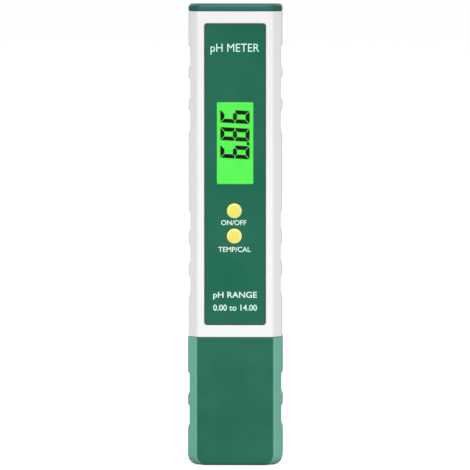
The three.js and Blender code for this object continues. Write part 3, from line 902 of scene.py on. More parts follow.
@dataclass(frozen=True)
class Backlit(Finish):
    """Backlit display glass: even light with a paler rim and the fine tooth of its diffuser."""

    colour: Colour
    pale: Colour
    centre: Flat
    half_size: Flat
    strength: float = 1.0
    rim: float = 0.9

    def surface(self, w: Wiring) -> bpy.types.Node:
        """Wires the shader.

        Args:
            w: the material's wiring.

        Returns:
            The shader node.
        """
        place = w.place()
        rim = w.math("MULTIPLY", w.border(place, self.centre, self.half_size, self.rim, 0.0), 0.55)
        clouds = w.math("MULTIPLY", w.ramp(w.noise(place, 160.0, 2.0), 0.35, 0.7), 0.22)
        light = w.blend(w.math("MAXIMUM", rim, clouds), self.colour, self.pale)
        tooth = w.noise(place, 12000.0, 1.0)
        return w.node(
            "ShaderNodeBsdfPrincipled",
            {
                "Base Color": w.blend(tooth, (0.01, 0.06, 0.01), (0.02, 0.08, 0.02)),
                "Roughness": w.math("MULTIPLY_ADD", tooth, 0.08, 0.2),
                "Emission Color": light,
                "Emission Strength": self.strength,
            },
        )


@dataclass(frozen=True)
class Clear(Finish):
    """Clear acrylic or glass, with a trace of waviness."""

    colour: Colour
    ior: float = 1.49
    roughness: float = 0.02

    def surface(self, w: Wiring) -> bpy.types.Node:
        """Wires the shader.

        Args:
            w: the material's wiring.

        Returns:
            The shader node.
        """
        place = w.place()
        waves = w.noise(place, 220.0, 1.0)
        return w.node(
            "ShaderNodeBsdfPrincipled",
            {
                "Base Color": w.blend(waves, self.colour, lighter(self.colour, 0.3)),
                "Roughness": w.math("MULTIPLY_ADD", waves, 0.02, self.roughness),
                "Normal": w.relief(waves, 0.04, 0.02),
                "IOR": self.ior,
                "Transmission Weight": 1.0,
            },
        )


@dataclass(frozen=True)
class Metal(Finish):
    """Drawn, turned or plated metal with fine lines along one direction and a little tarnish."""

    colour: Colour
    tarnish: Colour
    roughness: float = 0.3
    lines: tuple[float, float, float] = (1.0, 1.0, 0.05)
    tarnished: float = 0.3

    def surface(self, w: Wiring) -> bpy.types.Node:
        """Wires the shader.

        Args:
            w: the material's wiring.

        Returns:
            The shader node.
        """
        place = w.place()
        stretched = w.node("ShaderNodeMapping", {"Vector": place, "Scale": self.lines}).outputs[0]
        brushed = w.noise(stretched, 9000.0, 3.0)
        spots = w.math("MULTIPLY", w.ramp(w.noise(place, 420.0, 4.0), 0.48, 0.72), self.tarnished)
        rough = w.math("MULTIPLY_ADD", brushed, 0.2, self.roughness - 0.1)
        return w.node(
            "ShaderNodeBsdfPrincipled",
            {
                "Base Color": w.blend(spots, self.colour, self.tarnish),
                "Metallic": 1.0,
                "Roughness": w.math("MULTIPLY_ADD", spots, 0.3, rough),
                "Normal": w.relief(brushed, 0.2, 0.01),
            },
        )


@dataclass(frozen=True)
class Laminate(Finish):
    """Circuit board: solder mask over rows of copper tracks, with a woven core in its roughness."""

    colour: Colour
    track: Colour
    track_size: Flat = (7.3, 1.1)
    track_gap: float = 0.12

    def surface(self, w: Wiring) -> bpy.types.Node:
        """Wires the shader.

        Args:
            w: the material's wiring.

        Returns:
            The shader node.
        """
        place = w.place()
        inputs = {"Vector": place, "Rotation": (math.pi / 2, 0.0, 0.0)}
        turned_flat = w.node("ShaderNodeMapping", inputs).outputs[0]
        tracks = w.node(
            "ShaderNodeTexBrick",
            {
                "Vector": turned_flat,
                "Color1": (1, 1, 1, 1),
                "Color2": (0.7, 0.7, 0.7, 1),
                "Mortar": (0, 0, 0, 1),
                "Scale": 1.0,
                "Mortar Size": self.track_gap * MM,
                "Brick Width": self.track_size[0] * MM,
                "Row Height": self.track_size[1] * MM,
            },
            offset=0.37,
        ).outputs["Fac"]
        weave = w.noise(place, 4200.0, 1.0)
        return w.node(
            "ShaderNodeBsdfPrincipled",
            {
                "Base Color": w.blend(tracks, self.colour, self.track),
                "Roughness": w.math("MULTIPLY_ADD", weave, 0.15, 0.28),
                "Normal": w.relief(tracks, 0.4, 0.03),
            },
        )


@dataclass(frozen=True)
class Porous(Finish):
    """Open-celled sponge or fired ceramic: pits of a given size, darkened inside by painted shade."""

    colour: Colour
    pit_scale: float
    pit_depth: float
    roughness: float = 0.95

    def surface(self, w: Wiring) -> bpy.types.Node:
        """Wires the shader.

        Args:
            w: the material's wiring.

        Returns:
            The shader node.
        """
        place = w.place()
        wander = w.node("ShaderNodeTexNoise", {"Vector": place, "Scale": self.pit_scale * 0.6})
        inputs = {0: wander.outputs["Color"], "Scale": 0.4 / self.pit_scale}
        nudge = w.node("ShaderNodeVectorMath", inputs, operation="SCALE")
        moved = w.node("ShaderNodeVectorMath", {0: place, 1: nudge.outputs[0]}, operation="ADD")
        inputs = {"Vector": moved.outputs[0], "Scale": self.pit_scale}
        depth = w.ramp(w.node("ShaderNodeTexVoronoi", inputs).outputs["Distance"], 0.08, 0.5)
        fine = w.noise(place, self.pit_scale * 6, 2.0)
        tone = w.blend(fine, darker(self.colour, 0.12), self.colour)
        return w.node(
            "ShaderNodeBsdfPrincipled",
            {
                # Painted shade: the pits go darker inside.
                "Base Color": w.blend(depth, darker(self.colour, 0.55), tone),
                "Roughness": w.math("MULTIPLY_ADD", fine, 0.05, self.roughness - 0.05),
                "Normal": w.relief(depth, 0.9, self.pit_depth),
            },
        )


# ---------------------------------------------------------------- this meter's finishes

CASE_WHITE = Moulding(
    "white_case_moulding", "case_white", (0.905, 0.9, 0.905), roughness=0.38, uneven=0.012, wear=0.1
)
# The lighter green on the chamfers and narrow sides is a painted highlight, standing in for the side lights'
# reflection.
CAP_GREEN = Moulding(
    "green_cap_moulding", "cap_green", (0.002, 0.138, 0.076), roughness=0.34, uneven=0.1, wear=0.2,
    painted_shading=(0.165, 0.48, 0.35), painted_shading_axis=Axis.X, painted_shading_range=(0.0, 0.5),
)
# The darker green on the band's chamfers and narrow sides is painted shade.
DRAWER_GREEN = Moulding(
    "green_drawer_moulding", "cap_green", (0.009, 0.138, 0.12), roughness=0.42, uneven=0.05, wear=0.25,
    painted_shading=(0.012, 0.115, 0.07), painted_shading_axis=Axis.X, painted_shading_range=(0.05, 0.72),
)
# Its second colour is the painted shade along the film's border, at the recess edge.
FILM_GREEN = PrintedFilm(
    "green_overlay_print", "film_green", (0.001, 0.134, 0.074), (0.032, 0.09, 0.068),
    centre=(0.0, 97.2), half_size=(10.25, 50.25),
)
LEGEND_MINT = Ink("mint_legend_ink", "film_green", (0.75, 1.0, 0.88))
# The paler, greener tone round each crown's rim and sides, where they turn from the front, is a painted
# highlight.
KEY_YELLOW = Moulding(
    "yellow_key_moulding", "button_yellow", (0.92, 0.79, 0.142), roughness=0.42, uneven=0.03, wear=0.0,
    painted_shading=(0.86, 0.92, 0.3), painted_shading_axis=Axis.Y, painted_shading_range=(0.9985, 0.98),
)
LENS = Clear("clear_lens_acrylic", "lens_clear", (0.97, 1.0, 0.97), ior=1.3)
LCD_GREEN = Backlit(
    "lit_display_glass", "lcd_green", (0.068, 0.875, 0.05), (0.13, 0.95, 0.13), (0.0, 107.5), (6.1, 13.65)
)
SEGMENT_BLACK = Ink("black_segment_ink", "lcd_green", (0.001, 0.004, 0.001), roughness=0.6, gloss=0.0)
GUIDE = Backlit(
    "lit_guide_acrylic", "light_guide", (0.3, 0.9, 0.25), (0.5, 1.0, 0.4), (0.0, 107.5), (7.4, 14.2), 0.6
)
BLACK = Moulding(
    "black_moulding", "plastic_black", (0.012, 0.012, 0.013), roughness=0.5, grain=0.4, marks=0.4
)
WHITE = Moulding("white_moulding", "plastic_white", (0.78, 0.78, 0.75), roughness=0.45, wear=0.1)
RUBBER = Moulding(
    "black_seal_rubber", "rubber_black", (0.018, 0.018, 0.02), roughness=0.75, grain=0.5, wear=0.1
)
BOARD = Laminate("green_board_laminate", "board_green", (0.006, 0.09, 0.04), (0.02, 0.2, 0.08))
TAN = Moulding("tan_capacitor_body", "capacitor_tan", (0.42, 0.27, 0.13), roughness=0.55, wear=0.15)
STEEL = Metal("drawn_steel", "steel", (0.62, 0.63, 0.65), (0.42, 0.42, 0.43))
BRASS = Metal("sprung_brass", "brass", (0.75, 0.53, 0.22), (0.4, 0.25, 0.09), tarnished=0.5)
CERAMIC = Porous("fired_junction_ceramic", "ceramic_junction", (0.8, 0.76, 0.66), 5000.0, 0.04)
GLASS = Clear("drawn_electrode_glass", "electrode_glass", (0.93, 0.98, 0.96), ior=1.51)
SILVER = Metal("chlorided_silver", "silver_wire", (0.35, 0.33, 0.33), (0.12, 0.1, 0.1), 0.55, tarnished=0.8)
RED_WIRE = Moulding("red_wire_sleeve", "wire_red", (0.5, 0.02, 0.015), roughness=0.4, wear=0.0)
GREY_WIRE = Moulding("grey_wire_sleeve", "wire_grey", (0.1, 0.105, 0.11), roughness=0.4, wear=0.0)
SPONGE_YELLOW = Porous("open_cell_sponge", "sponge_yellow", (0.82, 0.62, 0.2), 900.0, 0.5)


# ---------------------------------------------------------------- placing pieces


@dataclass(frozen=True)
class Place:
    """The box that a frame node takes up, in millimetres."""

    low: Vector
    high: Vector

    @classmethod
    def of(cls, node: str) -> "Place":
        """The box of one node."""
        low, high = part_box(node)
        return cls(low / MM, high / MM)

    @property
    def middle(self) -> Vector:
        """The middle of the box."""
        return (self.low + self.high) / 2

    def pane(self, margin: float, corner: float, steps: int = 4) -> Pane:
        """The box's outline seen from the display side, with a margin round it."""
        half = (self.high - self.low) / 2
        return Pane(self.middle.x, self.middle.z, half.x + margin, half.z + margin, corner, steps)


def placed(
    mesh: bpy.types.Mesh, finish: Finish, body: str, nodes: Iterable[str] = (), sharp: float = 32.0
) -> bpy.types.Object:
    """Makes a finished piece out of a mesh.

    Args:
        mesh: the mesh, in metres; the piece takes its name.
        finish: its finish.
        body: the frame body that it moves with.
        nodes: the frame nodes that it stands for.
        sharp: edges that turn more than this many degrees stay sharp.

    Returns:
        The piece.
    """
    piece = linked(mesh.name, mesh)
    mesh.shade_smooth()
    mesh.set_sharp_from_angle(angle=math.radians(sharp))
    weighted = piece.modifiers.new("even_shading", "WEIGHTED_NORMAL")
    weighted.keep_sharp = True
    mesh.materials.clear()
    mesh.materials.append(finish.material())
    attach(piece, body)
    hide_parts(*nodes)
    LOG.info("%s: %d faces, rides on %s", piece.name, len(mesh.polygons), body)
    return piece


def dressed(node: str, finish: Finish) -> None:
    """Gives a frame node that keeps its own shape a finish.

    Args:
        node: the node's name.
        finish: its finish.
    """
    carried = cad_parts[node]
    carried.data.materials.clear()
    carried.data.materials.append(finish.material())
    LOG.info("%s: kept, dressed in %s", node, finish.name)


CASE_SKIN = PenSection(15.6, 8.5, 3.1, 1.6)
CASE_HOLLOW = PenSection(15.6, 8.5, 2.7)
KEYS = ("power", "calibration")


def stepped(top: float, count: int, length: float, pitch: float = 10.8) -> tuple[Flat, ...]:
    """Tops and bottoms of a group of notches, stepping down the pen."""
    tops = [top - i * pitch for i in range(count)]
    return tuple((high, high - length) for high in tops)


class SubAssembly(ABC):
    """One sub-assembly of the meter."""

    @abstractmethod
    def build(self) -> None:
        """Builds the pieces and dresses them."""


# ---------------------------------------------------------------- case


@dataclass
class CaseShells(SubAssembly):
    """The two white half shells: notched sides, faceplate recess, openings, bosses and tongues."""

    skin: PenSection = CASE_SKIN
    hollow: PenSection = CASE_HOLLOW
    wall: float = 1.75
    seam: float = 0.05
    edge: float = 0.15
    inner_edge: float = 0.05
    notches: GripNotches = GripNotches(stepped(140.0, 3, 7.4) + stepped(84.7, 3, 6.9))
    recess: Pane = Pane(0, 97.2, 10.35, 50.35, 1.05)
    recess_depth: float = 0.4
    recess_edge: float = 0.12
    opening_margin: float = 0.1
    opening_corner: float = 0.5
    hole_radius: float = 2.7
    boss: tuple[Flat, ...] = ((0.8, 0.0), (2.0, 0.0), (2.15, -5.6), (0.8, -5.6))
    boss_gap: float = 0.1
    tongue: tuple[float, float, float] = (13.05, 13.75, 1.5)
    tongue_ends: Flat = (56.0, 127.0)

    def ring(self, side: Half, z: float, draw_in: float) -> Loop:
        """One level of a half shell.

        Args:
            side: which half.
            z: the level's height.
            draw_in: how far the outside is drawn in there.

        Returns:
            The level's points: along the outside, round the seam edge and back along the inside.
        """
        outer = self.skin.corners(draw_in)
        inner = self.hollow.corners(self.wall)
        far = self.skin.half_width - draw_in
        near = self.hollow.half_width - self.wall
        outside = [(-far, -self.seam, self.edge), *outer[6:], *outer[:2], (far, -self.seam, self.edge)]
        seam_edge = (-self.seam, self.inner_edge)
        inside = [(-near, *seam_edge), *inner[6:], *inner[:2], (near, *seam_edge)]
        limit = self.skin.half_width - self.notches.depth(z)
        path = filleted([*outside, *reversed(inside)], self.skin.steps)
        return [Vector((max(-limit, min(limit, x)), -side.value * y, z)) for x, y in path]

    def half(self, side: Half, name: str, node: str) -> bpy.types.Mesh:
        """A half shell from end to end, before anything is cut out of it.

        Args:
            side: which half.
            name: name of the mesh.
            node: the frame node that it stands for.

        Returns:
            The mesh, in metres.
        """
        place = Place.of(node)
        ends = quarter_round(self.edge, 3)
        bottom, top = place.low.z, place.high.z
        levels = [(bottom + rise, inset) for inset, rise in ends]
        levels += [(z, 0.0) for z in self.notches.levels(bottom + 2 * self.edge, top - 2 * self.edge)]
        levels += [(top - rise, inset) for inset, rise in reversed(ends)]
        return lofted(name, [self.ring(side, z, inset) for z, inset in levels])

    def front(self) -> bpy.types.Mesh:
        """The front shell with its recess, its openings and the bosses for the board's screws.

        Returns:
            The mesh, in metres.
        """
        shell = self.half(Half.FRONT, "case_front", "front_shell")
        base = Place.of("main_board").low.y - self.boss_gap
        bosses = []
        for i in range(1, 5):
            screw = Place.of(f"board_screw_{i}").middle
            bosses.append(turned("boss", self.boss, Axis.Y, (screw.x, base, screw.z), 32))
        shell = worked(shell, bosses, Join.ADD)
        face = -self.skin.half_depth
        through = [Place.of("display_window").pane(self.opening_margin, self.opening_corner)]
        for key in KEYS:
            middle = Place.of(f"{key}_button").middle
            through.append(disc(middle.x, middle.z, self.hole_radius))
        tools = [flared("recess", self.recess, face, face + self.recess_depth, self.recess_edge)]
        tools += [flared("hole", hole, face - 1, face + self.wall + 1, self.inner_edge) for hole in through]
        return worked(shell, tools, Join.CUT)

    def rear(self) -> bpy.types.Mesh:
        """The rear shell with the tongues that reach inside the front shell.

        Returns:
            The mesh, in metres.
        """
        shell = self.half(Half.REAR, "case_rear", "rear_shell")
        near, far, reach = self.tongue
        low, high = self.tongue_ends
        tongues = []
        for sign in (-1, 1):
            for out, front, back, edge in ((far, -reach, 0.3, 0.15), (far + 0.2, 0.1, reach, 0.05)):
                left, right = sorted((sign * near, sign * out))
                tongues.append(block("tongue", (left, front, low), (right, back, high), edge))
        return worked(shell, tongues, Join.ADD)

    def build(self) -> None:
        """Builds both shells."""
        placed(self.front(), CASE_WHITE, "housing", ["front_shell"])
        placed(self.rear(), CASE_WHITE, "housing", ["rear_shell"])


@dataclass(frozen=True)
class Legend:
    """One line of printed lettering: its words, its middle or left edge, its height and its size."""

    name: str
    words: str
    x: float
    z: float
    width: float
    height: float
    from_left: bool = False
    weight: float = 0.012


@dataclass
class Faceplate(SubAssembly):
    """The printed green film with its window, its button holes and its lettering."""

    corner: float = 1.0
    window_margin: float = 0.45
    window_corner: float = 0.3
    edge: float = 0.08
    hole_radius: float = 2.7
    ink: float = 0.02
    capital: float = 0.7
    legends: tuple[Legend, ...] = (
        Legend("legend_title", "pH METER", -0.05, 138.05, 16.2, 2.75, weight=0.0),
        Legend("legend_power", "ON/OFF", -0.45, 80.35, 8.4, 1.65),
        Legend("legend_calibration", "TEMP/CAL", -0.2, 71.4, 10.8, 1.65),
        Legend("legend_range_name", "pH RANGE", -7.3, 56.1, 14.6, 1.95, True),
        Legend("legend_range_values", "0.00 to 14.00", -7.3, 51.8, 14.6, 1.95, True),
    )

    def film(self) -> bpy.types.Mesh:
        """The film.

        Returns:
            The mesh, in metres.
        """
        place = Place.of("faceplate")
        window = Place.of("display_window").pane(-self.window_margin, self.window_corner)
        keys = [Place.of(f"{key}_button").middle for key in KEYS]
        holes = [window, *(disc(key.x, key.z, self.hole_radius) for key in keys)]
        outline = place.pane(0.0, self.corner, 10)
        return plate("overlay_film", outline, place.low.y, place.high.y, self.edge, holes)

    def lettering(self, legend: Legend) -> bpy.types.Mesh:
        """One line of lettering as a thin layer of ink on the film.

        Args:
            legend: the line.

        Returns:
            The mesh, in metres.
        """
        curve = bpy.data.curves.new(legend.name, "FONT")
        curve.body = legend.words
        curve.extrude = 0.5
        curve.offset = legend.weight
        curve.resolution_u = 5
        text = linked(legend.name, curve)
        mesh = evaluated(text, legend.name)
        bpy.data.objects.remove(text)
        xs = [v.co.x for v in mesh.vertices]
        wide = legend.width / (max(xs) - min(xs))
        tall = legend.height / self.capital
        left = legend.x if legend.from_left else legend.x - legend.width / 2
        front = Place.of("faceplate").low.y
        for v in mesh.vertices:
            x, up, out = v.co
            v.co = Vector((left + (x - min(xs)) * wide, front - out * self.ink, legend.z + up * tall)) * MM
        return mesh

    def build(self) -> None:
        """Builds the film and its lettering."""
        placed(self.film(), FILM_GREEN, "housing", ["faceplate"])
        for legend in self.legends:
            placed(self.lettering(legend), LEGEND_MINT, "housing")


# ---------------------------------------------------------------- display


@dataclass(frozen=True)
class Digit:
    """A seven-segment digit: which segments are lit, and where its middle lies along the pen."""

    lit: str
    middle: float


@dataclass
class Display(SubAssembly):
    """The lens, the display glass with its digits, and the parts that hold and light it."""

    step: float = 0.45
    lens_gap: float = 0.1
    lens_corner: float = 0.5
    lens_edge: float = 0.06
    lens_lap: float = 0.3
    sheet: float = 1.05
    sheet_lap: float = 0.05
    sheet_edge: float = 0.04
    ledge_gap: float = 0.2
    polariser: float = 0.12
    polariser_margin: float = 0.3
    polariser_edge: float = 0.03
    digit_height: float = 9.75
    digit_width: float = 4.35
    stroke: float = 1.34
    gap: float = 0.14
    digit_x: float = -0.08
    slant: float = math.tan(math.radians(3.3))
    digits: tuple[Digit, ...] = (Digit("acdefg", 104.6), Digit("abcdefg", 110.45), Digit("acdefg", 116.35))
    point: Flat = (4.3, 107.35)
    point_size: float = 0.95
    ink: float = 0.03

    def lens(self) -> bpy.types.Mesh:
        """The clear lens: a raised pane and the rim behind the film.

        Returns:
            The mesh, in metres.
        """
        place = Place.of("display_window")
        rim = place.pane(0.0, self.lens_corner)
        raised = place.pane(-self.step - self.lens_gap, self.lens_corner / 2)
        start = Place.of("faceplate").high.y + self.lens_gap
        back = plate("window_lens", rim, start, place.high.y, self.lens_edge)
        front = plate("raised", raised, place.low.y, start + self.lens_lap, self.lens_edge)
        return worked(back, [front], Join.ADD)

    def glass(self) -> bpy.types.Mesh:
        """The display: two sheets of glass, the front one short of the contact ledge, and a polariser in
        front.

        Returns:
            The mesh, in metres.
        """
        place = Place.of("lcd_glass")
        low, high = place.low, place.high
        middle = low.y + self.sheet
        ledge = Place.of("zebra_strip").low.z - self.ledge_gap
        back = block("display_glass", (low.x, middle - self.sheet_lap, low.z), high, self.sheet_edge)
        start = (low.x, low.y + self.polariser, low.z)
        front = block("sheet", start, (high.x, middle, ledge), self.sheet_edge)
        margin = Vector((self.polariser_margin, 0, self.polariser_margin))
        far = Vector((high.x, low.y + self.polariser + self.sheet_lap, ledge))
        polariser = block("polariser", low + margin, far - margin, self.polariser_edge)
        return worked(back, [front, polariser], Join.ADD)

    def strokes(self) -> dict[str, list[Flat]]:
        """Outlines of the seven segments, from the digit's lower left corner.

        Returns:
            Each segment's outline, by its usual letter.
        """
        w, h, t, g = self.digit_width, self.digit_height, self.stroke, self.gap
        m = h / 2
        top = [(g, h), (w - g, h), (w - t - g, h - t), (t + g, h - t)]
        upper = [(0, h - g), (0, m + g), (t / 2, m + g), (t, m + t / 2 + g), (t, h - t - g)]
        bar = [
            (t / 2 + g, m),
            (t + g / 2, m + t / 2),
            (w - t - g / 2, m + t / 2),
            (w - t / 2 - g, m),
            (w - t - g / 2, m - t / 2),
            (t + g / 2, m - t / 2),
        ]
        return {
            "a": top,
            "b": [(w - x, y) for x, y in upper],
            "c": [(w - x, h - y) for x, y in upper],
            "d": [(x, h - y) for x, y in top],
            "e": [(x, h - y) for x, y in upper],
            "f": upper,
            "g": bar,
        }

    def segments(self) -> bpy.types.Mesh:
        """The lit digits and the point, which read up the pen, as thin dark shapes on the glass.

        Returns:
            The mesh, in metres.
        """
        front = Place.of("lcd_glass").low.y
        bm = bmesh.new()
        shapes: list[list[Flat]] = []
        outlines = self.strokes()
        for digit in self.digits:
            for key in digit.lit:
                shape = []
                for across, up in outlines[key]:
                    rise = up - self.digit_height / 2
                    z = digit.middle + across - self.digit_width / 2 + self.slant * rise
                    shape.append((self.digit_x - rise, z))
                shapes.append(shape)
        half = self.point_size / 2
        x, z = self.point
        shapes.append([(x + dx * half, z + dz * half) for dx, dz in CORNER_SIGNS])
        for shape in shapes:
            near, far = ([bm.verts.new((x, y, z)) for x, z in shape] for y in (front - self.ink, front))
            bm.faces.new(near)
            bm.faces.new(far)
            bridged(bm, near, far)
        return mesh_of(bm, "display_digits")

    def build(self) -> None:
        """Builds the lens, the glass and the digits, and dresses what holds and lights them."""
        placed(self.lens(), LENS, "housing", ["display_window"])
        placed(self.glass(), LCD_GREEN, "housing", ["lcd_glass"])
        placed(self.segments(), SEGMENT_BLACK, "housing")
        for node, finish in {
            "display_frame": BLACK,
            "light_guide": GUIDE,
            "backlight_led": WHITE,
            "zebra_strip": RUBBER,
        }.items():
            dressed(node, finish)


# ---------------------------------------------------------------- keys and board


@dataclass
class Keypad(SubAssembly):
    """The two yellow keys, crowned in front, with the flange that keeps each one in."""

    radius: float = 2.5
    crown: float = 0.34
    crown_power: float = 3.2
    crown_steps: int = 14
    flange_radius: float = 3.5
    flange: float = 0.7
    edge: float = 0.12

    def key(self, name: str, node: str) -> bpy.types.Mesh:
        """One key, turned about its own axis.

        Args:
            name: name of the mesh.
            node: the frame node that it stands for.

        Returns:
            The mesh, in metres.
        """
        place = Place.of(node)
        front, back = place.low.y, place.high.y
        profile: list[Flat] = []
        for k in range(self.crown_steps + 1):
            share = math.sin(math.pi / 2 * k / self.crown_steps)
            drop = 1 - math.sqrt(1 - share**self.crown_power)
            profile.append((self.radius * share, front + self.crown * drop))
        shoulder = back - self.flange
        profile += [(self.radius, shoulder), (self.flange_radius - self.edge, shoulder)]
        profile += [(self.flange_radius, shoulder + self.edge), (self.flange_radius, back), (0, back)]
        return turned(name, profile, Axis.Y, (place.middle.x, 0, place.middle.z), 64)

    def build(self) -> None:
        """Builds both keys and dresses the plungers behind them."""
        for name in KEYS:
            node = f"{name}_button"
            placed(self.key(f"{name}_key_top", node), KEY_YELLOW, f"{name}_key", [node])
            dressed(f"{name}_switch_plunger", WHITE)


@dataclass
class CircuitBoard(SubAssembly):
    """The board and what is mounted on it, hidden in the case."""

    finishes: dict[str, Finish] = field(
        default_factory=lambda: {
            "main_board": BOARD,
            "microcontroller": BLACK,
            "memory_chip": BLACK,
            "amplifier_chip": BLACK,
            "crystal": STEEL,
            "filter_capacitor": TAN,
            "power_switch_body": BLACK,
            "calibration_switch_body": BLACK,
            "power_switch_dome": STEEL,
            "calibration_switch_dome": STEEL,
            "battery_contact_negative": BRASS,
            "battery_contact_positive": BRASS,
            "electrode_lead": RED_WIRE,
            "sensor_lead": GREY_WIRE,
        }
    )

    thread: tuple[float, float, int] = (0.58, 0.75, 9)
    head: tuple[Flat, ...] = ((1.6, 0.0), (1.6, 0.35), (1.45, 0.65), (0.9, 0.88))
    cross: Flat = (0.85, 0.17)

    def screw(self, index: int) -> bpy.types.Mesh:
        """A pan-head screw with a cross recess and a stepped thread.

        Args:
            index: the screw's number.

        Returns:
            The mesh, in metres.
        """
        place = Place.of(f"board_screw_{index}")
        x, z = place.middle.x, place.middle.z
        head = Place.of("main_board").high.y + 0.1
        tip = place.low.y
        core, crest, turns = self.thread
        profile: list[Flat] = [(0, tip), (0.3, tip), (0.55, tip + 0.6)]
        pitch = (head - tip - 0.9) / turns
        for k in range(turns):
            low = tip + 0.7 + k * pitch
            profile += [(core, low), (crest, low + pitch * 0.45), (crest, low + pitch * 0.55)]
        profile += [(crest, head), *((radius, head + rise) for radius, rise in self.head), (0, place.high.y)]
        made = turned(f"screw_{index}", profile, Axis.Y, (x, 0, z), 32)
        cross = []
        for half_x, half_z in (self.cross, self.cross[::-1]):
            low = (x - half_x, head + 0.3, z - half_z)
            cross.append(block("cross", low, (x + half_x, head + 2, z + half_z), 0.03))
        return worked(made, cross, Join.CUT)

    def build(self) -> None:
        """Dresses the board and builds its screws."""
        for node, finish in self.finishes.items():
            dressed(node, finish)
        for index in range(1, 5):
            placed(self.screw(index), STEEL, "housing", [f"board_screw_{index}"])


# ---------------------------------------------------------------- seals and battery drawer


def seal(
    name: str, node: str, section: PenSection, proud_inset: float, height: float = 1.1, depth: float = 0.95
) -> bpy.types.Mesh:
    """A moulded seal round a neck.

    Args:
        name: name of the mesh.
        node: the frame node that it stands for.
        section: the section that it follows.
        proud_inset: inset of its outer face.
        height: its height.
        depth: how far it reaches in from its outer face.

    Returns:
        The mesh, in metres.
    """
    middle = Place.of(node).middle.z
    across = Pane(proud_inset + depth / 2, middle, depth / 2, height / 2, 0.32, 5)
    return lofted(name, [section.ring(inset, z) for inset, z in across.points()], around=True)


@dataclass
class BatteryDrawer(SubAssembly):
    """The green cap with its plug and seal, and the tray of button cells under it."""

    skin: PenSection = PenSection(15.6, 8.5, 3.1, 2.6)
    hollow: PenSection = CASE_HOLLOW
    plug_inset: float = 1.95
    plug_bottom: float = 148.4
    band_bottom: float = 151.55
    top_round: float = 0.9
    lip_round: float = 0.3
    groove_half: float = 0.65
    groove_depth: float = 0.95
    pry: tuple[float, float, float] = (4.5, 0.8, 0.8)
    seal_proud: float = 0.1
    bore: float = 5.95
    mouth: Flat = (4.9, 2.9)
    mark: tuple[float, float, float] = (9.2, 0.5, 0.13)
    cells: int = 4
    crimp: tuple[Flat, ...] = (
        (0.0, 0.75), (0.12, 0.45), (0.5, 0.28), (0.95, 0.25), (1.0, 0.42), (1.15, 0.42), (1.25, 0.08),
        (1.4, 0.0),
    )

    def cap(self) -> bpy.types.Mesh:
        """The cap: chamfered plug, seal groove, and the band with its rounded top and pry notch.

        Returns:
            The mesh, in metres.
        """
        place = Place.of("battery_cap")
        top = place.high.z
        plug = self.plug_inset
        groove = Place.of("battery_seal").middle.z
        neck = [(plug + 0.3, self.plug_bottom), (plug, self.plug_bottom + 0.3)]
        deep = plug + self.groove_depth
        for side in (-1, 1):
            edge = groove + side * self.groove_half
            pair = [(plug, edge), (deep, edge)]
            neck += pair if side < 0 else pair[::-1]
        neck += [(plug, self.band_bottom)]
        band = [(inset, self.band_bottom + rise) for inset, rise in quarter_round(self.lip_round, 3)]
        band += [(inset, top - rise) for inset, rise in reversed(quarter_round(self.top_round, 8))]
        rings = [self.hollow.ring(inset, z) for inset, z in neck]
        rings += [self.skin.ring(inset, z) for inset, z in band]
        half, depth, height = self.pry
        low = (-half, self.skin.half_depth - depth, self.plug_bottom + 2)
        high = (half, self.skin.half_depth + 2, self.band_bottom + height)
        return worked(lofted("drawer_cap", rings), [block("pry", low, high, 0.25)], Join.CUT)

    def tray(self) -> bpy.types.Mesh:
        """The tray: bored for the cells, open in front, with its two pole marks.

        Returns:
            The mesh, in metres.
        """
        place = Place.of("battery_tray")
        low, high = place.low, place.high
        z = Place.of("battery_cell_1").middle.z
        reach = high.x + 2
        profile = [(0, -reach), (self.bore, -reach), (self.bore, reach), (0, reach)]
        bore = turned("bore", profile, Axis.X, (0, 0, z), 72)
        half, depth = self.mouth
        mouth = block("mouth", (-reach, low.y - 3, z - half), (reach, low.y + depth, z + half), 0.4)
        body = worked(block("drawer_tray", low, high, 0.35), [bore, mouth], Join.CUT)
        x, half_length, half_width = self.mark
        marks = []
        bars = [(-x, half_length, half_width), (x, half_length, half_width), (x, half_width, half_length)]
        for middle, half_x, half_z in bars:
            foot = Vector((middle, low.y - 0.01, low.z + 1.0))
            reach = Vector((half_x, 0.11, half_z))
            marks.append(block("bar", foot - reach, foot + reach, 0.04))
        return worked(body, marks, Join.ADD)

    def cell(self, index: int) -> bpy.types.Mesh:
        """A button cell: the can, its crimp, the gasket line and the raised pole.

        Args:
            index: the cell's number.

        Returns:
            The mesh, in metres.
        """
        place = Place.of(f"battery_cell_{index}")
        middle = place.middle
        half = (place.high.x - place.low.x) / 2
        r = (place.high.z - place.low.z) / 2
        profile = [(0, -half), (r - 0.5, -half), (r - 0.15, -half + 0.12), (r, -half + 0.5)]
        profile += [(r - inset, half - drop) for inset, drop in self.crimp]
        profile += [(0, half)]
        return turned(f"cell_{index}", profile, Axis.X, middle, 72)

    def build(self) -> None:
        """Builds the cap, the seal, the tray and the cells."""
        placed(self.cap(), DRAWER_GREEN, "battery_drawer", ["battery_cap"])
        ring = seal("drawer_seal", "battery_seal", self.hollow, self.plug_inset - self.seal_proud)
        placed(ring, RUBBER, "battery_drawer", ["battery_seal"], 60)
        placed(self.tray(), BLACK, "battery_drawer", ["battery_tray"])
        for index in range(1, self.cells + 1):
            placed(self.cell(index), STEEL, "battery_drawer", [f"battery_cell_{index}"])


# ---------------------------------------------------------------- electrode


